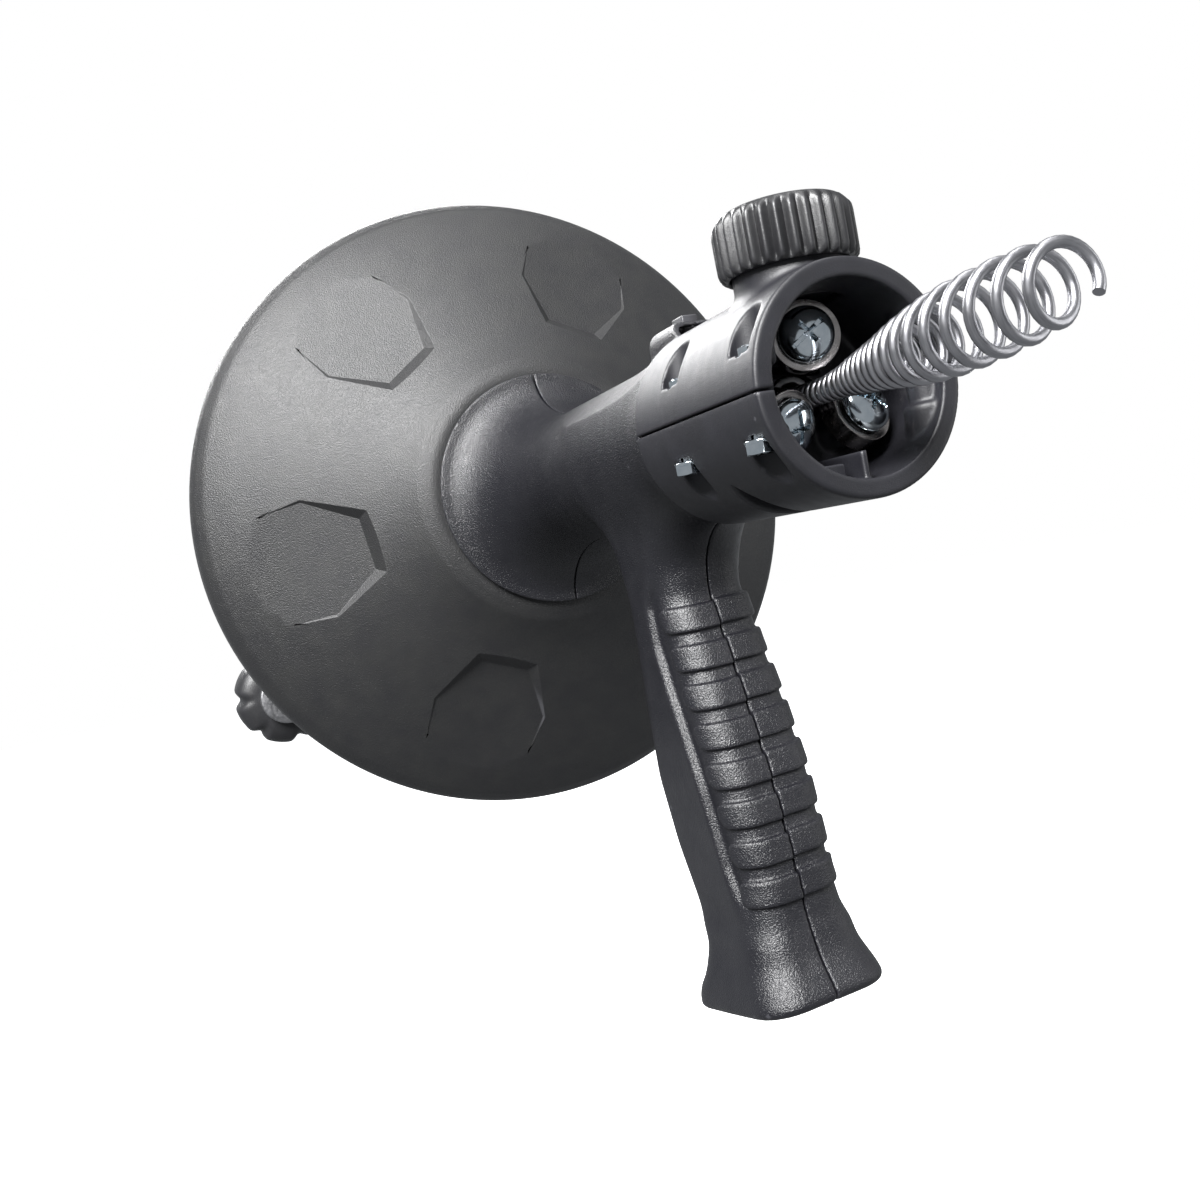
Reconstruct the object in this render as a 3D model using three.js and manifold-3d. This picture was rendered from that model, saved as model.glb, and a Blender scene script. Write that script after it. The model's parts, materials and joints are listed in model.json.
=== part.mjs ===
// A hand-held drain snake: a black drum of spring cable that turns on a pistol-grip handle, a split
// feed head with three skewed rollers, and a knob that presses the top roller onto the cable.
// Millimetres, +Z up. The cable leaves towards -Y along the drum's axis, which is the Y axis.
// The origin is the centre of the drive stud's end face, at the back of the drum.
// Inside this file y is counted from the feed head's front rim, and the last group moves it.
import * as THREE from "three";
import { mergeVertices } from "three/addons/utils/BufferGeometryUtils.js";
import Module from "manifold-3d";

// ---- driving dimensions ----
const GAP = 0.3;

const HEAD_R = 25.6;
const HEAD_LENGTH = 62.6;
const MOUTH_R = 21.2;
const MOUTH_DEPTH = 27;
const BULKHEAD_BACK = 47;
const SPIGOT_R = 18;
const COLLAR_R = 20.3;
const COLLAR_FRONT = 51.3;
const COLLAR_BACK = 55.2;
const CLAMP_X = 21.8;
const CLAMP_YS = { front: 7.5, rear: 42 };
const CLAMP_POCKET_R = 4.6;
const CLAMP_POCKET_Z = 8.8;

const CABLE_R = 3;
const WIRE_R = 0.75;
const AUGER_R = 8.2;
const AUGER_WIDEST = 0.6;
const AUGER_TAPER = 3;
const AUGER_START = -5;
const AUGER_END = -62;
const AUGER_TURNS = 9;
const TUBE_R = 6;
const TUBE_BORE_R = 4.2;
const TUBE_FRONT = 28;
const TUBE_BACK = 206;

const ROLLER_R = 8;
const ROLLER_WIDTH = 5;
const ROLLER_BORE_R = 2.5;
const ROLLER_Y = 19;
const ROLLER_SKEW = THREE.MathUtils.degToRad(22);
const ROLLER_LOW_GAP = 0.5;
const ROLLER_TOP_GAP = 1.8;
const ROLLERS = [
  { name: "top", angle: 90, radius: CABLE_R + ROLLER_R + ROLLER_TOP_GAP },
  { name: "right", angle: -30, radius: CABLE_R + ROLLER_R + ROLLER_LOW_GAP },
  { name: "left", angle: 210, radius: CABLE_R + ROLLER_R + ROLLER_LOW_GAP },
];

const KNOB_Y = 19.6;
const KNOB_R = 16.2;
const KNOB_BOTTOM = 27.5;
const KNOB_TOP = 40.3;
const KNOB_RIBS = 30;
const BOSS_R = 13.2;
const BOSS_TOP = 29.7;
const FEED_SCREW_R = 3.8;
const TONGUE_Z = [21.2, 24.2];

const NECK_R = 22;
const FLANGE_R = 42.3;
const FLANGE_Y = 203.4;
const JOURNAL_R = 18;
const JOURNAL_END = 240;

const DRUM_R = 122;
const DRUM_SEAM = 256.5;
const DRUM_BACK = 304;
const POCKET_COUNT = 6;
const POCKET_ANGLE = 67;
const POST_RADIUS = 101;
const POST_ANGLE = POCKET_ANGLE + 30;

const CRANK_RADIUS = 115;
const CRANK_ANGLE = THREE.MathUtils.degToRad(213);
const CRANK_KNOB_R = 20;
const DRIVE_END = 330;

const GRIP_BASE = { y: 57.9, z: -153, slope: -0.21 };
const HANDLE_SCREWS = [
  { y: 104, z: 13.5 },
  { y: 160, z: 13.5 },
  { y: 160, z: -13.5 },
  { y: 103, z: -44 },
  { y: 86, z: -138 },
];

// ---- materials ----
const finish = (color, roughness, metalness) =>
  new THREE.MeshStandardMaterial({ color, roughness, metalness });
const MATERIAL = {
  grip: finish(0x1b1c1f, 0.5, 0),
  head: finish(0x1d1e23, 0.6, 0),
  drum: finish(0x222223, 0.55, 0),
  knob: finish(0x19191b, 0.5, 0),
  nylon: finish(0xd8d4c8, 0.5, 0),
  zinc: finish(0xb9c2cc, 0.3, 1),
  bearing: finish(0x8e8f92, 0.25, 1),
  seal: finish(0x0c0c0d, 0.6, 0),
  spring: finish(0xb4b4b8, 0.3, 1),
  steel: finish(0x8c8d90, 0.4, 1),
};

// ---- solids ----
const wasm = await Module();
wasm.setup();

const X = new THREE.Vector3(1, 0, 0);
const Y = new THREE.Vector3(0, 1, 0);
const Z = new THREE.Vector3(0, 0, 1);

// A closed geometry as a solid. Triangles that shrink to a line at a lathe's pole are dropped.
function solid(geometry) {
  const bare = geometry.index ? geometry.toNonIndexed() : geometry.clone();
  bare.deleteAttribute("normal");
  bare.deleteAttribute("uv");
  const merged = mergeVertices(bare, 1e-4);
  const index = merged.index.array;
  const corners = [];
  for (let i = 0; i < index.length; i += 3) {
    const [a, b, c] = [index[i], index[i + 1], index[i + 2]];
    if (a !== b && b !== c && c !== a) corners.push(a, b, c);
  }
  const build = (list) =>
    new wasm.Manifold(
      new wasm.Mesh({
        numProp: 3,
        vertProperties: new Float32Array(merged.attributes.position.array),
        triVerts: new Uint32Array(list),
      }),
    );
  const made = build(corners);
  return made.volume() < 0 ? build(corners.reverse()) : made;
}

function toGeometry(body) {
  const { numProp, numVert, vertProperties, triVerts } = body.getMesh();
  const positions = new Float32Array(numVert * 3);
  for (let i = 0; i < numVert; i++) {
    positions.set(vertProperties.subarray(i * numProp, i * numProp + 3), i * 3);
  }
  const geometry = new THREE.BufferGeometry();
  geometry.setAttribute("position", new THREE.BufferAttribute(positions, 3));
  geometry.setIndex(new THREE.BufferAttribute(triVerts, 1));
  geometry.computeVertexNormals();
  return geometry;
}

const union = (bodies) => bodies.reduce((all, next) => all.add(next));
const cut = (body, tools) => tools.reduce((rest, tool) => rest.subtract(tool), body);

function box(x0, x1, y0, y1, z0, z1) {
  const geometry = new THREE.BoxGeometry(x1 - x0, y1 - y0, z1 - z0);
  return solid(geometry.translate((x0 + x1) / 2, (y0 + y1) / 2, (z0 + z1) / 2));
}

// Moves geometry made around +Y so that +Y points along axis and its origin is at the given place.
function aim(geometry, axis, x, y, z) {
  const turn = new THREE.Quaternion().setFromUnitVectors(Y, axis);
  return geometry.applyQuaternion(turn).translate(x, y, z);
}

// A profile of [radius, height] points turned around the line through (x, y, z) along axis.
function turned(profile, segments, axis = Y, x = 0, y = 0, z = 0) {
  const points = profile.map(([r, h]) => new THREE.Vector2(r, h));
  return solid(aim(new THREE.LatheGeometry(points, segments), axis, x, y, z));
}

// A turned profile that closes on itself, for rings and shells.
const ring = (profile, segments, ...place) => turned([...profile, profile[0]], segments, ...place);

function rod(r, from, to, segments, axis = Y, x = 0, y = 0, z = 0) {
  return turned([[0, from], [r, from], [r, to], [0, to]], segments, axis, x, y, z);
}

function hexRod(acrossFlats, from, to, axis, x, y, z) {
  return rod(acrossFlats / Math.sqrt(3), from, to, 6, axis, x, y, z);
}

const polar = (radius, angle) => ({ x: radius * Math.cos(angle), z: radius * Math.sin(angle) });
const turns = (count, start = 0) =>
  Array.from({ length: count }, (_, i) => THREE.MathUtils.degToRad(start + (360 * i) / count));

// ---- scene graph ----
const machine = new THREE.Group();

function piece(name, body, material) {
  const mesh = new THREE.Mesh(toGeometry(body), material);
  mesh.name = name;
  machine.add(mesh);
}

// ---- rollers ----
function rollerFrame({ angle, radius }) {
  const a = THREE.MathUtils.degToRad(angle);
  const { x, z } = polar(radius, a);
  const along = new THREE.Vector3(0, -Math.cos(ROLLER_SKEW), 0);
  const across = new THREE.Vector3(-Math.sin(a), 0, Math.cos(a)).multiplyScalar(Math.sin(ROLLER_SKEW));
  return { axis: along.add(across), x, z };
}

// Around a roller's own axis, which points out of the mouth: heights count from its middle.
const onRoller = (roller, make) => {
  const { axis, x, z } = rollerFrame(roller);
  return make(axis, x, ROLLER_Y, z);
};

const ROLLER_HALF = ROLLER_WIDTH / 2;
const POST_START = -ROLLER_HALF - 0.6;
const POST_END = -14;
const ROLLER_SCREW_R = 2.1;
const ROLLER_SCREW_END = -8;

const rollerPost = (roller) => onRoller(roller, (...at) => rod(4.4, POST_END, POST_START, 16, ...at));
const rollerHole = (roller) => onRoller(roller, (...at) => rod(2.45, POST_END, 0, 12, ...at));

function phillipsRecess(at) {
  const blade = (w, l) => new THREE.BoxGeometry(w, 2, l).translate(0, 6.6, 0);
  return union([solid(aim(blade(1.3, 6), ...at)), solid(aim(blade(6, 1.3), ...at))]);
}

function rollerScrew(...at) {
  const head = [[0, ROLLER_SCREW_END], [ROLLER_SCREW_R, ROLLER_SCREW_END], [ROLLER_SCREW_R, 3],
    [5.4, 3], [5.5, 4.4], [4.7, 5.8], [2.8, 6.6], [0, 6.8]];
  return turned(head, 16, ...at).subtract(phillipsRecess(at));
}

function addRoller(roller) {
  const h = ROLLER_HALF;
  const outer = [[6.2, -h], [7.6, -h], [ROLLER_R, -h + 0.4], [ROLLER_R, h - 0.4], [7.6, h], [6.2, h]];
  const inner = [[ROLLER_BORE_R, -h], [4, -h], [4, h], [ROLLER_BORE_R, h]];
  const seal = [[4.3, h - 1], [5.9, h - 1], [5.9, h - 0.3], [4.3, h - 0.3]];
  const make = (profile, segments) => onRoller(roller, (...at) => ring(profile, segments, ...at));
  piece("roller_" + roller.name, make(outer, 24), MATERIAL.bearing);
  piece("roller_hub_" + roller.name, make(inner, 16), MATERIAL.bearing);
  piece("roller_seal_" + roller.name, make(seal, 16), MATERIAL.seal);
  piece("roller_screw_" + roller.name, onRoller(roller, rollerScrew), MATERIAL.zinc);
}

// ---- feed head ----
const CARRIER = { x: 7.5, front: 25, back: 38, bottom: 7.8, top: 20 };
const TONGUE = { front: 13.5, back: 30 };

function clampPillars() {
  const sides = [-CLAMP_X, CLAMP_X];
  const ys = Object.values(CLAMP_YS);
  const thin = (x, y) => rod(4.2, -CLAMP_POCKET_Z, CLAMP_POCKET_Z, 10, Z, x, y, 0);
  const block = (x, y, z0, z1) => rod(5.8, z0, z1, 10, Z, x, y, 0);
  return sides.flatMap((x) => ys.flatMap((y) => [thin(x, y), block(x, y, -19, -5), block(x, y, 7, 19)]));
}

function clampTools() {
  const tools = [];
  for (const x of [-CLAMP_X, CLAMP_X]) {
    for (const y of Object.values(CLAMP_YS)) {
      tools.push(rod(2.3, -30, 30, 8, Z, x, y, 0));
      tools.push(rod(CLAMP_POCKET_R, CLAMP_POCKET_Z, 30, 14, Z, x, y, 0));
      tools.push(rod(CLAMP_POCKET_R, -30, -CLAMP_POCKET_Z, 14, Z, x, y, 0));
    }
  }
  return tools;
}

function headBody() {
  const outline = [[0, 0.5], [MOUTH_R, 0.5], [25, 0], [HEAD_R, 0.6], [HEAD_R, HEAD_LENGTH - 0.4],
    [HEAD_R - 0.4, HEAD_LENGTH], [0, HEAD_LENGTH]];
  const throat = 6.5;
  const socket = SPIGOT_R + 0.4;
  const groove = COLLAR_R + GAP;
  const hollow = [[0, -1], [MOUTH_R, -1], [MOUTH_R, MOUTH_DEPTH], [throat, MOUTH_DEPTH],
    [throat, BULKHEAD_BACK], [socket, BULKHEAD_BACK], [socket, COLLAR_FRONT - GAP],
    [groove, COLLAR_FRONT - GAP], [groove, COLLAR_BACK + GAP], [socket, COLLAR_BACK + GAP],
    [socket, HEAD_LENGTH + 8], [0, HEAD_LENGTH + 8]];
  const barrel = turned(outline, 28);
  const boss = rod(BOSS_R, 5, BOSS_TOP, 24, Z, 0, KNOB_Y, 0);
  const shell = barrel.add(boss).subtract(turned(hollow, 24));
  const lowerRollers = ROLLERS.slice(1);
  const posts = union(lowerRollers.map(rollerPost));
  const inside = union([...clampPillars(), posts]).intersect(barrel);
  const tools = [
    ...clampTools(),
    ...lowerRollers.map(rollerHole),
    box(-CARRIER.x - GAP, CARRIER.x + GAP, CARRIER.front - GAP, CARRIER.back + GAP, 5.5, CARRIER.top + 0.6),
    box(-CARRIER.x - GAP, CARRIER.x + GAP, 12.5, TONGUE.back + GAP, 18, TONGUE_Z[1] + 1.8),
    rod(FEED_SCREW_R + 0.4, 20, 40, 16, Z, 0, KNOB_Y, 0),
  ];
  return cut(shell.add(inside), tools);
}

function addHead() {
  const body = headBody();
  const seam = GAP / 2 + 0.05;
  piece("head_upper", body.intersect(box(-40, 40, -5, 80, seam, 60)), MATERIAL.head);
  piece("head_lower", body.intersect(box(-40, 40, -5, 80, -60, -seam)), MATERIAL.head);
  for (const [side, x] of [["left", -CLAMP_X], ["right", CLAMP_X]]) {
    for (const [end, y] of Object.entries(CLAMP_YS)) {
      const shank = rod(1.9, -9.5, 10.6, 10, Z, x, y, 0);
      const cap = hexRod(6.4, -12.1, -CLAMP_POCKET_Z - GAP, Z, x, y, 0);
      piece("clamp_screw_" + side + "_" + end, shank.add(cap), MATERIAL.zinc);
    }
  }
}

// ---- roller carrier and feed knob ----
function addCarrier() {
  const { x, front, back, bottom, top } = CARRIER;
  const block = box(-x, x, front, back, bottom, top);
  const neck = box(-x, x, front, TONGUE.back, top - 1, TONGUE_Z[1]);
  const tongue = box(-x, x, TONGUE.front, TONGUE.back, ...TONGUE_Z);
  const post = rollerPost(ROLLERS[0]).intersect(box(-x, x, 0, 30, 0, 30));
  const body = union([block, neck, tongue, post]).subtract(rollerHole(ROLLERS[0]));
  piece("roller_carrier", body, MATERIAL.head);
}

function knobBody() {
  const skirt = [[0, KNOB_BOTTOM + 4], [BOSS_R + 0.5, KNOB_BOTTOM + 4], [BOSS_R + 0.5, KNOB_BOTTOM],
    [KNOB_R - 0.9, KNOB_BOTTOM], [KNOB_R - 0.9, KNOB_TOP - 1.6], [KNOB_R - 2.6, KNOB_TOP], [0, KNOB_TOP]];
  const core = turned(skirt, 30, Z, 0, KNOB_Y, 0);
  const ribs = turns(KNOB_RIBS).map((angle) => {
    const { x, z } = polar(KNOB_R - 1, angle);
    return rod(1, KNOB_BOTTOM + 0.4, KNOB_TOP - 1.9, 4, Z, x, KNOB_Y + z, 0);
  });
  return core.add(union(ribs)).subtract(rod(FEED_SCREW_R + GAP, 20, KNOB_TOP - 3, 12, Z, 0, KNOB_Y, 0));
}

function addFeedKnob() {
  piece("feed_knob", knobBody(), MATERIAL.knob);
  const screw = rod(FEED_SCREW_R, TONGUE_Z[1] + GAP, KNOB_TOP - 3 - GAP, 12, Z, 0, KNOB_Y, 0);
  piece("feed_screw", screw, MATERIAL.steel);
}

// ---- handle ----
// Rows of the grip from its throat to its base: height, front edge, back edge and half width.
const GRIP_ROWS = [
  [-12, 76, 128, 15.5],
  [-24, 81, 125, 15.5],
  [-34, 88, 122, 15.3],
  [-43, 90, 119.5, 15.5],
  [-54, 86.4, 118.5, 16],
  [-74, 79.7, 118, 16.8],
  [-95, 73.5, 118.5, 17],
  [-115, 69.8, 115, 16.4],
  [-133, 67.6, 109, 15.6],
  [-143, 64.5, 105.5, 16.6],
  [-151, 58.8, 105.5, 19],
  [-158, 57.6, 110.5, 20.2],
  [-172, 57.6, 116, 20.2],
];

// A closed loft of rounded rectangles through the rows, each drawn in by inset.
function gripLoft(rows, inset) {
  const sides = 20;
  const geometry = new THREE.CylinderGeometry(1, 1, 1, sides, rows.length - 1);
  const position = geometry.attributes.position;
  const roundness = 0.8;
  const squared = (v) => Math.sign(v) * Math.abs(v) ** roundness;
  for (let i = 0; i < position.count; i++) {
    const row = Math.round((0.5 - position.getY(i)) * (rows.length - 1));
    const [z, front, back, half] = rows[row];
    const across = squared(position.getX(i)) * (half - inset);
    const along = squared(position.getZ(i)) * ((back - front) / 2 - inset);
    position.setXYZ(i, across, (front + back) / 2 + along, z);
  }
  return solid(geometry);
}

// The space above the grip's tilted base, raised by lift.
function aboveBase(lift) {
  const angle = Math.atan(GRIP_BASE.slope);
  const geometry = new THREE.BoxGeometry(100, 900, 300).translate(0, 0, 150 + lift);
  return solid(geometry.rotateX(angle).translate(0, GRIP_BASE.y, GRIP_BASE.z));
}

function neckOutline() {
  const flare = [];
  const [from, to] = [162, 201.5];
  const steps = 6;
  for (let i = 0; i <= steps; i++) {
    const angle = ((i / steps) * Math.PI) / 2;
    const y = from + (to - from) * Math.sin(angle);
    flare.push([FLANGE_R - (FLANGE_R - NECK_R) * Math.cos(angle), y]);
  }
  return [[0, 47.3], [SPIGOT_R, 47.3], [SPIGOT_R, COLLAR_FRONT], [COLLAR_R, COLLAR_FRONT],
    [COLLAR_R, COLLAR_BACK], [SPIGOT_R, COLLAR_BACK], [SPIGOT_R, 62.9], [24.8, 62.9], [24, 70],
    [22.7, 80], [NECK_R, 94], ...flare, [FLANGE_R, FLANGE_Y], [JOURNAL_R, FLANGE_Y], [JOURNAL_R, 233.6],
    [16.5, 233.6], [16.5, 236], [JOURNAL_R, 236], [JOURNAL_R, JOURNAL_END], [0, JOURNAL_END]];
}

function handleBody() {
  const grip = gripLoft(GRIP_ROWS, 0).intersect(aboveBase(0));
  const hood = box(-8, 8, 63.2, 83, 16, 29.2);
  const outside = union([turned(neckOutline(), 28), grip, hood]);
  const chambers = [
    ring([[6.3, 68], [18.8, 68], [18.8, 126], [6.3, 126]], 14),
    ring([[6.3, 130], [18.8, 130], [18.8, 188], [6.3, 188]], 14),
    rod(14.5, 208, 250, 16),
    gripLoft(GRIP_ROWS, 3).intersect(aboveBase(3.5)).intersect(box(-40, 40, 0, 200, -200, -25)),
  ];
  const bosses = HANDLE_SCREWS.map(({ y, z }) => rod(5.4, -16, 16, 8, X, 0, y, z));
  const tools = [
    rod(TUBE_R + GAP + 0.1, 40, 250, 14),
    box(-5.6, 5.6, 60, 80.5, 24.4, 40),
    box(-2.7, 2.7, 70.8, 78.2, 10, 40),
    ...HANDLE_SCREWS.map(({ y, z }) => rod(2.1, -9, 30, 8, X, 0, y, z)),
    ...HANDLE_SCREWS.map(({ y, z }) => rod(4.1, 11.4, 30, 10, X, 0, y, z)),
  ];
  return cut(cut(outside, chambers).add(union(bosses).intersect(outside)), tools);
}

function addHandle() {
  const body = handleBody();
  const seam = GAP / 2;
  piece("handle_left", body.intersect(box(-60, -seam, 0, 300, -200, 60)), MATERIAL.grip);
  piece("handle_right", body.intersect(box(seam, 60, 0, 300, -200, 60)), MATERIAL.grip);
  HANDLE_SCREWS.forEach(({ y, z }, i) => {
    const shank = rod(1.75, -8.5, 12.5, 8, X, 0, y, z);
    const cap = turned([[0, 11.7], [3.6, 11.7], [3.6, 13.2], [2.4, 14.2], [0, 14.4]], 10, X, 0, y, z);
    piece("handle_screw_" + (i + 1), shank.add(cap), MATERIAL.zinc);
  });
}

function addLockButton() {
  const stem = box(-2.3, 2.3, 71.2, 77.8, 16.5, 31.2);
  const foot = box(-4.2, 4.2, 69.6, 79.4, 15, 17);
  piece("cable_lock_button", stem.add(foot), MATERIAL.seal);
}

function addBearings() {
  const tube = [[TUBE_BORE_R, TUBE_FRONT], [TUBE_R, TUBE_FRONT], [TUBE_R, TUBE_BACK],
    [TUBE_BORE_R, TUBE_BACK]];
  piece("guide_tube", ring(tube, 16), MATERIAL.steel);
  const bush = [[JOURNAL_R + GAP, 205.5], [20.7, 205.5], [20.7, 231], [JOURNAL_R + GAP, 231]];
  piece("drum_bush", ring(bush, 24), MATERIAL.nylon);
  const clip = [[16.8, 233.9], [24, 233.9], [24, 235.7], [16.8, 235.7]];
  piece("retaining_ring", ring(clip, 24), MATERIAL.steel);
}

// ---- drum ----
const POSTS = turns(POCKET_COUNT, POST_ANGLE).map((angle) => polar(POST_RADIUS, angle));

// The hexagonal recess that fades out towards the rim: its floor is flatter than the cone.
function pocketTool(angle) {
  const corners = [[-11, 71], [11, 71], [24.5, 92], [23, 116], [-23, 116], [-24.5, 92]];
  const shape = new THREE.Shape(corners.map(([x, y]) => new THREE.Vector2(x, y)));
  const geometry = new THREE.ExtrudeGeometry(shape, { depth: 14, bevelEnabled: false });
  const tilt = Math.atan(0.44);
  const across = X.clone();
  const outward = new THREE.Vector3(0, Math.sin(tilt), Math.cos(tilt));
  const basis = new THREE.Matrix4().makeBasis(across, outward, across.clone().cross(outward));
  geometry.applyMatrix4(basis).translate(0, 191, 0);
  return solid(geometry.rotateY(Math.PI / 2 - angle));
}

function addDrumFront() {
  const face = [[21, 204.4], [44.5, 204.4], [49, 206.4], [54, 210.4], [62, 215.6], [80, 224.8],
    [100, 235.2], [112, 242], [118, 246.2], [121, 250], [DRUM_R, 253], [DRUM_R, DRUM_SEAM]];
  const back = [[118.6, DRUM_SEAM], [118.4, 254], [115, 249], [98, 239.2], [78, 228.8], [58, 218.6],
    [48, 212], [42, 208.6], [25, 208.6], [25, 232], [21, 232]];
  const shell = ring([...face, ...back], 36);
  const posts = union(POSTS.map(({ x, z }) => rod(4.6, 239.5, 266, 8, Y, x, 0, z)));
  const holes = POSTS.map(({ x, z }) => rod(2.1, 250, 270, 8, Y, x, 0, z));
  const pockets = turns(POCKET_COUNT, POCKET_ANGLE).map(pocketTool);
  piece("drum_front", cut(shell.add(posts), [...holes, ...pockets]), MATERIAL.drum);
}

function addDrumRear() {
  const outside = [[118.2, 254.4], [118.2, DRUM_SEAM + GAP], [121, DRUM_SEAM + GAP], [121, 259.5],
    [117, 266], [113, 290], [107, 300], [98, DRUM_BACK], [16, DRUM_BACK], [16, 308], [7.4, 308]];
  const inside = [[7.4, 301], [97, 301], [104.5, 297.6], [110, 288.6], [114, 265], [115.2, 254.4]];
  const shell = ring([...outside, ...inside], 36);
  const posts = union(POSTS.map(({ x, z }) => rod(5.4, 266.4, 302, 8, Y, x, 0, z)));
  const tools = POSTS.flatMap(({ x, z }) => [
    rod(2.1, 260, 310, 8, Y, x, 0, z),
    rod(4.1, 270, 310, 10, Y, x, 0, z),
  ]);
  piece("drum_rear", cut(shell.add(posts), tools), MATERIAL.drum);
  POSTS.forEach(({ x, z }, i) => {
    const shank = rod(1.75, 253, 271, 8, Y, x, 0, z);
    const cap = turned([[0, 270.3], [3.7, 270.3], [3.7, 271.8], [2.4, 272.8], [0, 273]], 10, Y, x, 0, z);
    piece("drum_screw_" + (i + 1), shank.add(cap), MATERIAL.zinc);
  });
}

function addCableStore() {
  const coil = [[60, 266], [64, 262], [84, 262], [88, 266], [88, 290], [84, 294], [64, 294], [60, 290]];
  piece("cable_coil", ring(coil, 28), MATERIAL.spring);
  const route = [[0, 243.5, 0], [0, 252, 0], [2, 262, 3], [10, 272, 12], [24, 279, 24], [38, 280, 37.5]];
  const curve = new THREE.CatmullRomCurve3(route.map((p) => new THREE.Vector3(...p)));
  piece("cable_lead", tubeAlong(curve, CABLE_R, 8, 12), MATERIAL.spring);
  const anchor = box(-7, 7, 289, 300.6, 88.6, 96.5).subtract(rod(3.3, -10, 10, 12, X, 0, 294, 93));
  piece("cable_anchor", anchor, MATERIAL.steel);
}

// ---- cable ----
function tubeAlong(curve, r, sides, steps) {
  const corners = turns(sides).map((a) => new THREE.Vector2(r * Math.cos(a), r * Math.sin(a)));
  const geometry = new THREE.ExtrudeGeometry(new THREE.Shape(corners), { steps, extrudePath: curve });
  return solid(geometry);
}

// The open coil at the cable's end: it swells to its widest turn, then narrows a little.
class AugerCurve extends THREE.Curve {
  getPoint(t, target = new THREE.Vector3()) {
    const start = CABLE_R - WIRE_R;
    const swell = Math.sin((Math.PI / 2) * Math.min(1, t / AUGER_WIDEST));
    const taper = AUGER_TAPER * Math.max(0, t - AUGER_WIDEST);
    const radius = start + (AUGER_R - WIRE_R - start) * swell - taper;
    const angle = 2 * Math.PI * AUGER_TURNS * t;
    const { x, z } = polar(radius, angle);
    return target.set(x, AUGER_START + (AUGER_END - AUGER_START) * t, z);
  }
}

function addCable() {
  piece("cable_run", rod(CABLE_R, AUGER_START + WIRE_R + GAP, 243, 12), MATERIAL.spring);
  piece("cable_auger", tubeAlong(new AugerCurve(), WIRE_R, 5, AUGER_TURNS * 10), MATERIAL.spring);
}

// ---- drive and crank ----
function addCrank() {
  const { x, z } = polar(CRANK_RADIUS, CRANK_ANGLE);
  const shaft = [[0, 297.3], [14, 297.3], [14, 300.7], [7, 300.7], [7, 308.3], [6.4, 308.3], [6.4, 312.3],
    [4.9, 312.3], [4.9, 319]];
  const stud = turned([...shaft, [0, 319]], 16).add(hexRod(8, 318.5, DRIVE_END, Y, 0, 0, 0));
  piece("drive_stud", stud, MATERIAL.steel);
  piece("crank_nut", hexRod(16, 312.9, 318, Y, 0, 0, 0).subtract(rod(5.3, 300, 330, 16)), MATERIAL.zinc);
  const beam = new THREE.BoxGeometry(CRANK_RADIUS, 4, 18).translate(CRANK_RADIUS / 2, 310.5, 0);
  const arm = union([
    solid(beam.rotateY(-CRANK_ANGLE)),
    rod(14, 308.5, 312.5, 20),
    rod(11, 308.5, 312.5, 20, Y, x, 0, z),
  ]);
  const holes = [rod(6.8, 300, 320, 16), rod(4.3, 300, 320, 12, Y, x, 0, z)];
  piece("crank_arm", cut(arm, holes), MATERIAL.steel);
  const pin = [[0, 305.6], [6, 305.6], [6, 308.2], [4, 308.2], [4, 336], [7, 336], [7, 339],
    [5.6, 340], [0, 340]];
  piece("crank_pin", turned(pin, 16, Y, x, 0, z), MATERIAL.zinc);
  piece("crank_knob", crankKnob(x, z), MATERIAL.knob);
}

function crankKnob(x, z) {
  const outline = [[0, 313.2], [14, 313.2], [CRANK_KNOB_R - 1, 316], [CRANK_KNOB_R, 320],
    [CRANK_KNOB_R, 334], [CRANK_KNOB_R - 2, 339], [14, 341], [0, 341]];
  const scallops = turns(7, 20).map((angle) => {
    const at = polar(CRANK_KNOB_R + 3.4, angle);
    return rod(6.4, 300, 350, 10, Y, x + at.x, 0, z + at.z);
  });
  const bore = [rod(4.3, 300, 350, 12, Y, x, 0, z), rod(7.5, 335.6, 350, 16, Y, x, 0, z)];
  return cut(turned(outline, 21, Y, x, 0, z), [...scallops, ...bore]);
}

// ---- assembly ----
addHead();
ROLLERS.forEach(addRoller);
addCarrier();
addFeedKnob();
addHandle();
addLockButton();
addBearings();
addDrumFront();
addDrumRear();
addCableStore();
addCable();
addCrank();
machine.position.y = -DRIVE_END;

const root = new THREE.Group();
root.add(machine);

export default root;
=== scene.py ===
import json
import math

import bmesh
import bpy
import numpy as np
from mathutils import Matrix, Vector


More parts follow.
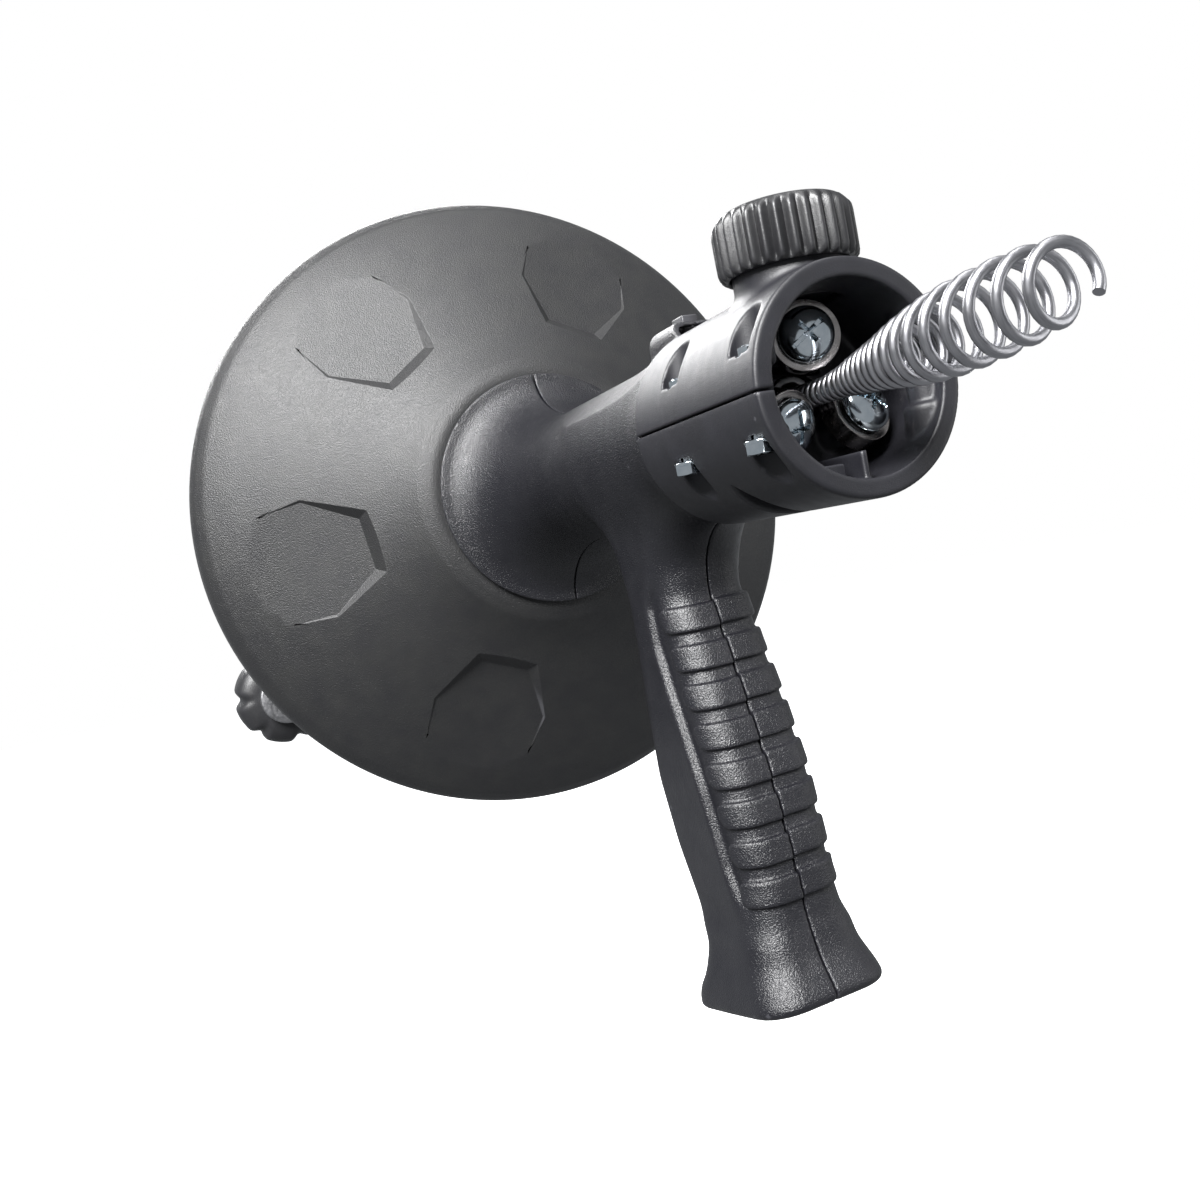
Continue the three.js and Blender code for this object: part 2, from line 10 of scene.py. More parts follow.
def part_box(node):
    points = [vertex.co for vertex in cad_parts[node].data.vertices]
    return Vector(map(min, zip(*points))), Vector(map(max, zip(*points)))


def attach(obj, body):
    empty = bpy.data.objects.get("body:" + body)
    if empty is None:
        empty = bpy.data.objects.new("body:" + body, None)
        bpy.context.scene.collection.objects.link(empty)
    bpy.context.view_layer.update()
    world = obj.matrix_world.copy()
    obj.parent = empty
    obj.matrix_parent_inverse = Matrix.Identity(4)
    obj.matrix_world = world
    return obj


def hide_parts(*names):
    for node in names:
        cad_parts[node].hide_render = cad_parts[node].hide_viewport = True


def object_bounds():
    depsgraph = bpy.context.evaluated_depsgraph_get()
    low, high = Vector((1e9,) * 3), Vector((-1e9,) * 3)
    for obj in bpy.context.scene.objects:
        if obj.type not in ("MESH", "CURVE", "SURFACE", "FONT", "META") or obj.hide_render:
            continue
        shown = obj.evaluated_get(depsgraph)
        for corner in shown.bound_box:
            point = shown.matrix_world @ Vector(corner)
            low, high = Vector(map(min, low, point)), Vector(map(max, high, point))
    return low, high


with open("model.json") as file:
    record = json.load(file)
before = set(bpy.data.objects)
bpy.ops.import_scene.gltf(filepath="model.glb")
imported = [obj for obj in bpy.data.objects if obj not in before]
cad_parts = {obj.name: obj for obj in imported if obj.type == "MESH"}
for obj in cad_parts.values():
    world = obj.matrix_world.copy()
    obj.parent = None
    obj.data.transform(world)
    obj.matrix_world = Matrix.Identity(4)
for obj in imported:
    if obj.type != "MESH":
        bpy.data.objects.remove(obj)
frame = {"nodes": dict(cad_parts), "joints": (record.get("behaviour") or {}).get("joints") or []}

CAD_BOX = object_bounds()
MM = 0.001
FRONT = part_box("head_upper")[0].y
COARSE = 1.0
TO_FRAME = Matrix.Translation((0, FRONT, 0)) @ Matrix.Scale(MM, 4)


def local(node):
    """A CAD node's lowest and highest corner in the millimetres that shapes are drawn in."""
    return [Vector((p.x, p.y - FRONT, p.z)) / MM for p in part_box(node)]


def joint(name):
    """A joint's point in drawing millimetres, and its axis."""
    found = next(j for j in frame["joints"] if j["name"] == name)
    x, y, z = found["pos_m"]
    return Vector((x, y - FRONT, z)) / MM, Vector(found["axis"]).normalized()


# ---- driving dimensions, read from the frame where it has them ----
HEAD_R = local("head_lower")[1].x
HEAD_LENGTH = local("head_lower")[1].y
MOUTH_R = 21.2
MOUTH_DEPTH = 27
BULKHEAD_BACK = 47
CLAMP_X = 21.8
CLAMP_YS = (7.5, 42)
SEAT_Z = 8.8
KNOB_LOW, KNOB_HIGH = local("feed_knob")
KNOB_Y = (KNOB_LOW.y + KNOB_HIGH.y) / 2
KNOB_TOP = 41.5
KNOB_R = (KNOB_HIGH.y - KNOB_LOW.y) / 2
BOSS_R = 13.2
BOSS_TOP = local("head_upper")[1].z
NECK_R = 22
FLANGE_R = -local("handle_left")[0].x
FLANGE_Y = 203.4
CABLE_R = 3
WIRE_R = 1.07
SNAKE_STEPS = 30
SNAKE_LEAN = 0.054
TIP_ANGLE = math.radians(-42)
SNAKE_LEAN_FROM = 13
# How the pitch, and the outer radius, grow with the distance in front of the head's rim.
SNAKE_PITCH = [(-250, 2.5), (0, 2.4), (5, 2.4), (10, 2.7), (15, 3.4),
               (20, 4.3), (27, 5.4), (35, 6.2), (45, 6.7), (70, 6.7)]
SNAKE_RADIUS = [(-250, 3), (-13, 3), (-6, 3.5), (0, 4.5), (8, 5.6), (14, 6.7), (20, 7.7),
                (27, 8.4), (33, 8.65), (42, 8.6), (49, 8.3), (56, 7.5), (62, 6.5)]
DRUM_R = max(local(node)[1].x for node in ("drum_rear", "drum_front"))
DRUM_SEAM = local("drum_front")[1].y
DRUM_BACK = 304
POCKET_ANGLE = 67
POCKET_TOP = 6
POCKET_SLOPE = 0.448
POCKET_FLOOR = 191.3
POCKET_MIDDLE = Vector((0, 93))
POCKET_WIDE, POCKET_NARROW = 1.3, 0.86
POST_RADIUS = 101
CRANK_PIN = joint("crank_knob_spin")[0]
DRIVE_END = local("drive_stud")[1].y


# ---- camera ----
LENS = 33.67
CAMERA_PLACE = Vector((-0.13887, FRONT - 0.19432, -0.02462))
CAMERA_HEADING = math.radians(25.66)
CAMERA_PITCH = math.radians(-2.63)
CAMERA_ROLL = math.radians(10.69)


def added(name, data):
    """A new object of the scene."""
    obj = bpy.data.objects.new(name, data)
    bpy.context.scene.collection.objects.link(obj)
    return obj


def add_camera():
    data = bpy.data.cameras.new("camera")
    data.lens = LENS
    data.shift_x = -0.0833
    data.shift_y = -0.0167
    data.clip_start = 0.01
    camera = added("camera", data)
    level = math.cos(CAMERA_PITCH)
    ahead, aside = math.cos(CAMERA_HEADING) * level, math.sin(CAMERA_HEADING) * level
    forward = Vector((aside, ahead, math.sin(CAMERA_PITCH)))
    right = forward.cross(Vector((0, 0, 1))).normalized()
    up = right.cross(forward)
    leaning = up * math.cos(CAMERA_ROLL) + right * math.sin(CAMERA_ROLL)
    across = forward.cross(leaning)
    turn = Matrix((across, leaning, -forward)).transposed()
    camera.matrix_world = Matrix.Translation(CAMERA_PLACE) @ turn.to_4x4()
    bpy.context.scene.camera = camera


# ---- materials ----
class Tree:
    """A material's nodes, with short ways to add and join them."""

    def __init__(self, name):
        self.material = bpy.data.materials.new(name)
        self.material.use_nodes = True
        self.nodes = self.material.node_tree.nodes
        self.shader = self.nodes["Principled BSDF"]
        self.place = self.add("TexCoord").outputs["Object"]

    def add(self, kind, **values):
        node = self.nodes.new("ShaderNode" + kind)
        for key, value in values.items():
            setattr(node, key, value)
        return node

    def join(self, out, into):
        self.material.node_tree.links.new(out, into)

    def drive(self, out, name):
        """Sets the shader's input of that name from a node's output."""
        self.join(out, self.shader.inputs[name])

    def noise(self, size_mm, detail=2.0, stretch=None, place=None):
        """Noise whose features are about size_mm across."""
        node = self.add("TexNoise")
        node.inputs["Scale"].default_value = 1 / (size_mm * MM)
        node.inputs["Detail"].default_value = detail
        source = place or self.place
        if stretch:
            mapping = self.add("Mapping")
            mapping.inputs["Scale"].default_value = stretch
            self.join(source, mapping.inputs["Vector"])
            source = mapping.outputs["Vector"]
        self.join(source, node.inputs["Vector"])
        return node.outputs["Fac"]

    def spread(self, source, low, high, start=0.3, end=0.7):
        """A value from low to high as source goes from start to end."""
        node = self.add("MapRange")
        for key, value in zip(("From Min", "From Max", "To Min", "To Max"), (start, end, low, high)):
            node.inputs[key].default_value = value
        self.join(source, node.inputs["Value"])
        return node.outputs["Result"]

    def colours(self, source, low, high, start=0.3, end=0.7):
        node = self.add("ValToRGB")
        ramp = node.color_ramp.elements
        ramp[0].position, ramp[0].color = start, (*low, 1)
        ramp[1].position, ramp[1].color = end, (*high, 1)
        self.join(source, node.inputs["Fac"])
        return node.outputs["Color"]

    def bump(self, source, depth_mm, strength=1.0, after=None):
        node = self.add("Bump")
        node.inputs["Strength"].default_value = strength
        node.inputs["Distance"].default_value = depth_mm * MM
        self.join(source, node.inputs["Height"])
        if after:
            self.join(after, node.inputs["Normal"])
        self.drive(node.outputs["Normal"], "Normal")
        return node.outputs["Normal"]

    def set(self, **values):
        for key, value in values.items():
            self.shader.inputs[key.replace("_", " ")].default_value = value


def moulded(name, dark, light, rough, grain_mm, depth_mm):
    """Black moulded plastic: a grain in two sizes, faint mottling, and rubbed, paler edges."""
    tree = Tree(name)
    mottle = tree.noise(9, 4)
    tint = tree.colours(mottle, dark, light)
    edges = tree.add("NewGeometry").outputs["Pointiness"]
    worn = tree.colours(edges, (0, 0, 0), (0.025, 0.025, 0.028), 0.53, 0.62)
    mixed = tree.add("Mix", data_type="RGBA", blend_type="ADD")
    mixed.inputs["Factor"].default_value = 1
    tree.join(tint, mixed.inputs["A"])
    tree.join(worn, mixed.inputs["B"])
    tree.drive(mixed.outputs["Result"], "Base Color")
    patches = tree.spread(tree.noise(4, 3), rough[0], rough[1])
    tree.drive(patches, "Roughness")
    coarse = tree.bump(tree.noise(grain_mm, 1.5), depth_mm)
    tree.bump(tree.noise(grain_mm / 3.1, 1), depth_mm / 4, 1, coarse)
    return tree.material


def metal(name, dark, light, rough, scratch, depth_mm, stain_mm=3):
    """Bare or plated metal: cloudy tint and sheen, with fine lines drawn along one way."""
    tree = Tree(name)
    tree.drive(tree.colours(tree.noise(stain_mm, 4), dark, light), "Base Color")
    tree.drive(tree.spread(tree.noise(stain_mm / 3, 3), *rough), "Roughness")
    tree.bump(tree.noise(0.5, 2, scratch), depth_mm)
    tree.set(Metallic=1.0)
    return tree.material


def spring_steel():
    """Drawn wire: lines run along it, from the u across and v along that sweep() stores."""
    tree = Tree("spring_steel")
    along = tree.add("UVMap", uv_map="wire").outputs["UV"]
    lines = tree.noise(1000, 3, (26, 0.22, 1), along)
    cloud = tree.noise(1000, 3, (4, 0.35, 1), along)
    tint = tree.colours(lines, (0.27, 0.27, 0.285), (0.4, 0.4, 0.42), 0.25, 0.75)
    tree.drive(tint, "Base Color")
    tree.drive(tree.spread(cloud, 0.3, 0.44), "Roughness")
    tree.bump(cloud, 0.003, 0.5)
    tree.set(Metallic=1.0)
    return tree.material


def nylon():
    tree = Tree("nylon")
    tint = tree.colours(tree.noise(5, 3), (0.62, 0.59, 0.5), (0.74, 0.71, 0.63))
    tree.drive(tint, "Base Color")
    tree.bump(tree.noise(0.4, 2, (1, 8, 1)), 0.02)
    tree.set(Roughness=0.45, Subsurface_Weight=0.1)
    return tree.material


def black_rubber():
    tree = Tree("seal_rubber")
    tint = tree.colours(tree.noise(2, 3), (0.008, 0.008, 0.009), (0.02, 0.02, 0.021))
    tree.drive(tint, "Base Color")
    tree.drive(tree.spread(tree.noise(1, 2), 0.35, 0.6), "Roughness")
    tree.bump(tree.noise(0.2, 2), 0.02)
    return tree.material


# A plastic's darkest and palest colour, the range of its roughness, and its grain's size and depth.
PLASTICS = {
    "drum_plastic": ((0.008, 0.008, 0.009), (0.012, 0.012, 0.012), (0.44, 0.48), 0.42, 0.2),
    "head_plastic": ((0.005, 0.005, 0.007), (0.008, 0.008, 0.011), (0.46, 0.52), 0.26, 0.05),
    "grip_plastic": ((0.005, 0.005, 0.007), (0.008, 0.008, 0.01), (0.28, 0.36), 0.42, 0.24),
    "knob_plastic": ((0.007, 0.007, 0.008), (0.011, 0.011, 0.012), (0.38, 0.46), 0.3, 0.05),
}
# A metal's darkest and palest colour, the range of its roughness, and its lines' stretch and depth.
METALS = {
    "zinc": ((0.55, 0.62, 0.67), (0.7, 0.76, 0.8), (0.09, 0.18), (1, 1, 1), 0.001),
    "bearing_steel": ((0.3, 0.28, 0.27), (0.45, 0.43, 0.42), (0.18, 0.28), (1, 1, 1), 0.002),
    "dark_steel": ((0.2, 0.2, 0.205), (0.36, 0.36, 0.37), (0.3, 0.5), (1, 6, 1), 0.02),
    "spring_wire_plain": ((0.5, 0.5, 0.52), (0.8, 0.8, 0.82), (0.25, 0.4), (6, 1, 6), 0.03),
}
MATERIAL = {
    **{name: moulded(name, *look) for name, look in PLASTICS.items()},
    **{name: metal(name, *look) for name, look in METALS.items()},
    "spring_wire": spring_steel(),
    "nylon": nylon(),
    "seal_rubber": black_rubber(),
}


# ---- mesh tools ----
def mesh_object(name, verts, faces):
    mesh = bpy.data.meshes.new(name)
    mesh.from_pydata([tuple(map(float, v)) for v in verts], [], [tuple(map(int, f)) for f in faces])
    return added(name, mesh)


def big_mesh(name, verts, quads):
    """mesh_object for numpy arrays of many vertices and quads."""
    mesh = bpy.data.meshes.new(name)
    mesh.vertices.add(len(verts))
    mesh.vertices.foreach_set("co", verts.astype(np.float32).ravel())
    mesh.loops.add(quads.size)
    mesh.loops.foreach_set("vertex_index", quads.astype(np.int32).ravel())
    mesh.polygons.add(len(quads))
    mesh.polygons.foreach_set("loop_start", np.arange(0, quads.size, 4, dtype=np.int32))
    mesh.update(calc_edges=True)
    mesh.validate()
    return added(name, mesh)


def face_out(obj):
    bm = bmesh.new()
    bm.from_mesh(obj.data)
    bmesh.ops.remove_doubles(bm, verts=bm.verts, dist=1e-5)
    bmesh.ops.recalc_face_normals(bm, faces=bm.faces)
    bm.to_mesh(obj.data)
    bm.free()
    return obj


def put(obj, body, slot, *nodes, sharp=35, flat=False):
    """The finished piece: shaded, moved into the frame, and riding in place of its CAD nodes."""
    for polygon in obj.data.polygons:
        polygon.use_smooth = True
    obj.data.set_sharp_from_angle(angle=math.radians(sharp))
    if flat:
        modifier = obj.modifiers.new("weighted", "WEIGHTED_NORMAL")
        modifier.keep_sharp = True
        apply_modifiers(obj)
    obj.data.transform(TO_FRAME)
    obj.data.materials.clear()
    obj.data.materials.append(MATERIAL[slot])
    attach(obj, body)
    if nodes:
        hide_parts(*nodes)
    return obj


def rounded(points, radius, steps=4):
    """The polyline with each corner drawn as an arc of the given radius, or less where it is tight."""
    points = [Vector((*p, 0)) for p in points]
    made = [points[0]]
    for before, corner, after in zip(points, points[1:], points[2:]):
        back, ahead = before - corner, after - corner
        turn = back.angle(ahead, math.pi)
        if turn > math.radians(172) or min(back.length, ahead.length) < 1e-6:
            made.append(corner)
            continue
        reach = min(radius / math.tan(turn / 2), 0.45 * back.length, 0.45 * ahead.length)
        start, end = corner + back.normalized() * reach, corner + ahead.normalized() * reach
        for i in range(steps + 1):
            t = i / steps
            made.append((1 - t) ** 2 * start + 2 * t * (1 - t) * corner + t * t * end)
    made.append(points[-1])
    return [(p.x, p.y) for p in made]


def stood(axis, origin):
    """The matrix that takes a shape drawn along +Y from 0 to origin, along axis."""
    turn = Vector((0, 1, 0)).rotation_difference(Vector(axis))
    return Matrix.Translation(origin) @ turn.to_matrix().to_4x4()


def lathe(name, profile, segments, axis=(0, 1, 0), origin=(0, 0, 0), closed=False):
    """A profile of (radius, height) turned round the line through origin along axis."""
    verts, rings = [], []
    for radius, height in profile:
        count = 1 if radius < 1e-6 else segments
        rings.append([len(verts) + i for i in range(count)])
        for i in range(count):
            angle = 2 * math.pi * i / segments
            verts.append((radius * math.cos(angle), height, radius * math.sin(angle)))
    faces = []
    pairs = list(zip(rings, rings[1:])) + ([(rings[-1], rings[0])] if closed else [])
    for a, b in pairs:
        for i in range(segments):
            j = (i + 1) % segments
            corners = [a[i % len(a)], a[j % len(a)], b[j % len(b)], b[i % len(b)]]
            kept = list(dict.fromkeys(corners))
            if len(kept) > 2:
                faces.append(kept)
    obj = mesh_object(name, verts, faces)
    obj.data.transform(stood(axis, origin))
    return face_out(obj)


def ring(name, points, segments, radius=0.4, **place):
    """A turned piece whose profile closes on itself, with every corner rounded."""
    return lathe(name, closed_rounded(points, radius), segments, closed=True, **place)


def closed_rounded(points, radius):
    """rounded() for an outline that closes on itself."""
    first = rounded([points[-1], points[0], points[1]], radius)[1:-1]
    others = rounded([*points, points[0]], radius)[1:-1]
    return first + others


def prism(name, corners, low, high):
    """An outline of (x, y) corners made solid from z low to z high."""
    count = len(corners)
    verts = [(x, y, z) for z in (low, high) for x, y in corners]
    sides = [(i, (i + 1) % count, (i + 1) % count + count, i + count) for i in range(count)]
    return face_out(mesh_object(name, verts, [*sides, tuple(range(count)), tuple(range(count, 2 * count))]))


def placed(obj, matrix):
    obj.data.transform(matrix)
    return obj


def joined(objs):
    """Several tools as one object, for one boolean."""
    bm = bmesh.new()
    for obj in objs:
        bm.from_mesh(obj.data)
    bm.to_mesh(objs[0].data)
    bm.free()
    for obj in objs[1:]:
        bpy.data.objects.remove(obj)
    return objs[0]


def apply_modifiers(obj):
    graph = bpy.context.evaluated_depsgraph_get()
    obj.data = bpy.data.meshes.new_from_object(obj.evaluated_get(graph))
    obj.modifiers.clear()
    return obj


def boolean(obj, tools, operation="DIFFERENCE"):
    tool = joined(tools)
    modifier = obj.modifiers.new("boolean", "BOOLEAN")
    modifier.operation = operation
    modifier.object = tool
    modifier.solver = "EXACT"
    modifier.use_self = len(tools) > 1
    apply_modifiers(obj)
    bpy.data.objects.remove(tool)
    return obj


def bevel(obj, width, segments=2, angle=32):
    modifier = obj.modifiers.new("bevel", "BEVEL")
    modifier.width = width
    modifier.segments = segments
    modifier.limit_method = "ANGLE"
    modifier.angle_limit = math.radians(angle)
    return apply_modifiers(obj)


def wound_quads(rows, sides, closed=False):
    """The quads between rows of a surface that goes round, with each quad's row and side."""
    row, side = np.meshgrid(np.arange(rows if closed else rows - 1), np.arange(sides), indexing="ij")
    beside, next_row = (side + 1) % sides, (row + 1) % rows
    corners = [(row, side), (row, beside), (next_row, beside), (next_row, side)]
    quads = np.stack([r * sides + s for r, s in corners], -1).reshape(-1, 4)
    return [tuple(q) for q in quads], row, side


def sweep(name, path, radius, sides):
    """A wire of round section along the path, with the uv map that its drawn lines follow."""
    path = np.asarray(path, float)
    tangent = np.gradient(path, axis=0)
    tangent /= np.linalg.norm(tangent, axis=1)[:, None]
    normal = np.cross(tangent[0], (0.3, 0.2, 0.9))
    angles = 2 * np.pi * np.arange(sides) / sides
    rows, run = [], 0.0
    lengths = [0.0]
    for i, (point, t) in enumerate(zip(path, tangent)):
        normal = normal - t * normal.dot(t)
        normal /= np.linalg.norm(normal)
        other = np.cross(t, normal)
        circle = np.cos(angles)[:, None] * normal + np.sin(angles)[:, None] * other
        rows.append(point + radius * circle)
        if i:
            run += np.linalg.norm(point - path[i - 1])
            lengths.append(run)
    verts = np.concatenate(rows)
    faces, row, side = wound_quads(len(path), sides)
    last = (len(path) - 1) * sides
    faces += [tuple(reversed(range(sides))), tuple(range(last, last + sides))]
    obj = mesh_object(name, verts, faces)
    layer = obj.data.uv_layers.new(name="wire")
    across = np.stack([side, side + 1, side + 1, side], -1).reshape(-1) / sides
    along = np.stack([row, row, row + 1, row + 1], -1).reshape(-1)
    uv = np.zeros((len(obj.data.loops), 2), np.float32)
    uv[: len(across), 0] = across
    uv[: len(across), 1] = np.asarray(lengths)[along]
    layer.data.foreach_set("uv", uv.ravel())
    return obj


# ---- shapes from fields: a field is below 0 inside the solid, and about a distance near its surface ----
def smooth_min(a, b, k):
    h = np.clip(0.5 + 0.5 * (b - a) / k, 0, 1)
    return b + (a - b) * h - k * h * (1 - h)


def smooth_max(a, b, k):
    return -smooth_min(-a, -b, k)


def rounded_box(x, y, half_x, half_y, radius):
    """Distance to a rounded rectangle centred on 0, 0."""
    qx, qy = np.abs(x) - half_x + radius, np.abs(y) - half_y + radius
    return np.hypot(np.maximum(qx, 0), np.maximum(qy, 0)) + np.minimum(np.maximum(qx, qy), 0) - radius


def block(x, y, z, low, high):
    """Distance, roughly, to a box between two corners."""
    sides = [np.abs(v - (a + b) / 2) - (b - a) / 2 for v, a, b in zip((x, y, z), low, high)]
    return np.maximum(np.maximum(sides[0], sides[1]), sides[2])


def post(x, y, z, origin, axis, radius, start, end):
    """Distance to a cylinder round an axis, between two heights along it."""
    px, py, pz = x - origin[0], y - origin[1], z - origin[2]
    height = px * axis[0] + py * axis[1] + pz * axis[2]
    away = np.sqrt(np.maximum(px * px + py * py + pz * pz - height * height, 0))
    return np.maximum(away - radius, np.maximum(start - height, height - end))


def net(name, field, low, high, step):
    """The field's zero surface as a mesh of quads: one vertex in each grid cell that it crosses."""
    axes = [np.arange(a, b + step, step, dtype=np.float32) for a, b in zip(low, high)]
    grid = field(axes[0][:, None, None], axes[1][None, :, None], axes[2][None, None, :]).astype(np.float32)
    inside = grid < 0
    nx, ny, nz = grid.shape
    corners = [(i, j, k) for i in (0, 1) for j in (0, 1) for k in (0, 1)]
    count = np.zeros((nx - 1, ny - 1, nz - 1), np.int8)
    for i, j, k in corners:
        count += inside[i : nx - 1 + i, j : ny - 1 + j, k : nz - 1 + k]
    mixed = (count > 0) & (count < 8)
    cells = np.argwhere(mixed)
    index = np.full(mixed.shape, -1, np.int32)
    index[mixed] = np.arange(len(cells))
    total, hits = np.zeros((len(cells), 3)), np.zeros(len(cells))
    for corner in corners:
        for axis in range(3):
            if corner[axis]:
                continue
            other = [c + (d == axis) for d, c in enumerate(corner)]
            a = grid[tuple((cells + corner).T)].astype(float)
            b = grid[tuple((cells + other).T)].astype(float)
            crossing = (a < 0) != (b < 0)
            share = np.where(crossing, a / np.where(crossing, a - b, 1), 0)
            point = np.tile(np.array(corner, float), (len(cells), 1))
            point[:, axis] += share
            total += point * crossing[:, None]
            hits += crossing
    verts = np.array(low) + (cells + total / hits[:, None]) * step
    quads = []
    for axis in range(3):
        e, f = (axis + 1) % 3, (axis + 2) % 3
        lower = [slice(None)] * 3
        upper = [slice(None)] * 3
        lower[axis], upper[axis] = slice(None, -1), slice(1, None)
        a, b = inside[tuple(lower)], inside[tuple(upper)]
        edges = np.argwhere(a != b)
        edges = edges[(edges[:, e] > 0) & (edges[:, f] > 0)]
        edges = edges[(edges[:, e] < grid.shape[e] - 1) & (edges[:, f] < grid.shape[f] - 1)]
        outward = a[tuple(edges.T)]
        around = []
        for de, df in ((0, 0), (1, 0), (1, 1), (0, 1)):
            cell = edges.copy()
            cell[:, e] -= de
            cell[:, f] -= df
            around.append(index[tuple(cell.T)])
        quad = np.stack(around, -1)
        quad[~outward] = quad[~outward][:, ::-1]
        quads.append(quad)
    return big_mesh(name, verts, np.concatenate(quads))


def table(points, width, span):
    """A smooth curve through (height, value) points, as a function of height."""
    heights = np.arange(span[0], span[1], 0.25)
    rows = sorted(points)
    values = np.interp(heights, [p[0] for p in rows], [p[1] for p in rows])
    count = max(3, int(width / 0.25) | 1)
    window = np.hanning(count + 2)[1:-1]
    padded = np.pad(values, count // 2, mode="reflect", reflect_type="odd")
    smooth = np.convolve(padded, window / window.sum(), mode="valid")
    return lambda h: np.interp(h, heights, smooth).astype(np.float32)


# ---- handle ----
# Rows of the grip: height, front edge, back edge and half width.
GRIP_ROWS = [
    (20, 60, 134, 15),
    (-12, 74, 128, 15.5),
    (-24, 81, 125, 15.5),
    (-34, 88, 122, 15.3),
    (-43, 90, 119.5, 15.5),
    (-54, 86.4, 118.5, 16),
    (-74, 79.7, 118, 16.8),
    (-95, 73.5, 118.5, 17),
    (-115, 69.8, 115, 16.4),
    (-133, 67.6, 109, 15.6),
    (-143, 64.5, 105.5, 16.6),
    (-151, 58.8, 106, 19),
    (-157, 57.8, 110.5, 20.1),
    (-180, 57.8, 116, 20.1),
]
GRIP_SPAN = (-185, 30)
GRIP_FRONT = table([(z, front) for z, front, _, _ in GRIP_ROWS], 9, GRIP_SPAN)
GRIP_BACK = table([(z, back) for z, _, back, _ in GRIP_ROWS], 9, GRIP_SPAN)
GRIP_HALF = table([(z, half) for z, _, _, half in GRIP_ROWS], 7, GRIP_SPAN)
# How far behind the front edge the side slabs start, against height, and how narrow the panel is.
PANEL_START = table([(0, 0), (-30, 0), (-38, 7), (-45, 12), (-56, 14.5), (-68, 14), (-79, 13),
                     (-96, 12), (-117, 11.5), (-125, 9.5), (-131, 5), (-137, 0), (-180, 0)], 2, GRIP_SPAN)
PANEL_INSET = table([(0, 0), (-28, 0.2), (-42, 2.2), (-60, 2.9), (-122, 2.9),
                     (-133, 1.2), (-138, 0), (-180, 0)], 4, GRIP_SPAN)
EDGE_RADIUS = table([(0, 8), (-34, 6), (-46, 1.8), (-125, 1.8),
                     (-140, 7), (-150, 6), (-180, 5)], 6, GRIP_SPAN)
NOSE_RADIUS = table([(0, 13.5), (-30, 12), (-46, 8), (-120, 8),
                     (-134, 9), (-150, 11), (-180, 11)], 8, GRIP_SPAN)
# The foot's plane: one point on it, and how its height changes towards the back.
GRIP_BASE = {"y": 57.9, "z": -153, "slope": -0.21}
RIB_COUNT = 8
RIB_TOP = -49.0
RIB_PITCH = 10.66
RIB_HALF = 3.5
RIB_REACH = 8
RIB_HEIGHT = 1.3
HANDLE_SCREWS = [(104, 13.5), (160, 13.5), (160, -13.5), (103, -44), (86, -138)]


def grip_field(x, y, z, rib_shift):
    front, back, half = GRIP_FRONT(z), GRIP_BACK(z), GRIP_HALF(z)
    depth = y - front
    length = back - front
    inset = PANEL_INSET(z)
    nose = rounded_box(x, depth - length / 2, half - inset, length / 2, NOSE_RADIUS(z))
    start = PANEL_START(z)
    middle = (start + length) / 2
    slab = rounded_box(x, depth - middle, half, (length - start) / 2, EDGE_RADIUS(z))
    spine = rounded_box(x, depth - length * 0.55, half, length * 0.45, 9)
    slab = smooth_max(slab, spine, 1.5)
    nearest = np.clip(np.round((RIB_TOP + rib_shift - z) / RIB_PITCH), 0, RIB_COUNT - 1)
    height = z - (RIB_TOP + rib_shift - nearest * RIB_PITCH)
    pill = np.hypot(np.maximum(depth - RIB_REACH + RIB_HALF, 0), height) - RIB_HALF
    ribs = smooth_max(nose - RIB_HEIGHT, pill, 0.7)
    return smooth_min(smooth_min(nose, ribs, 0.3), slab, 1.8)


def neck_radius(y):
    flare_from, flare_to = 162, 201.6
    angle = np.arcsin(np.clip((y - flare_from) / (flare_to - flare_from), 0, 1))
    flare = FLANGE_R - (FLANGE_R - NECK_R) * np.cos(angle)
    collar = np.interp(y, [62.9, 66, 72, 80, 90, 98], [24.8, 24.5, 23.7, 22.8, 22.2, 22])
    return np.where(y < 98, collar, flare).astype(np.float32)


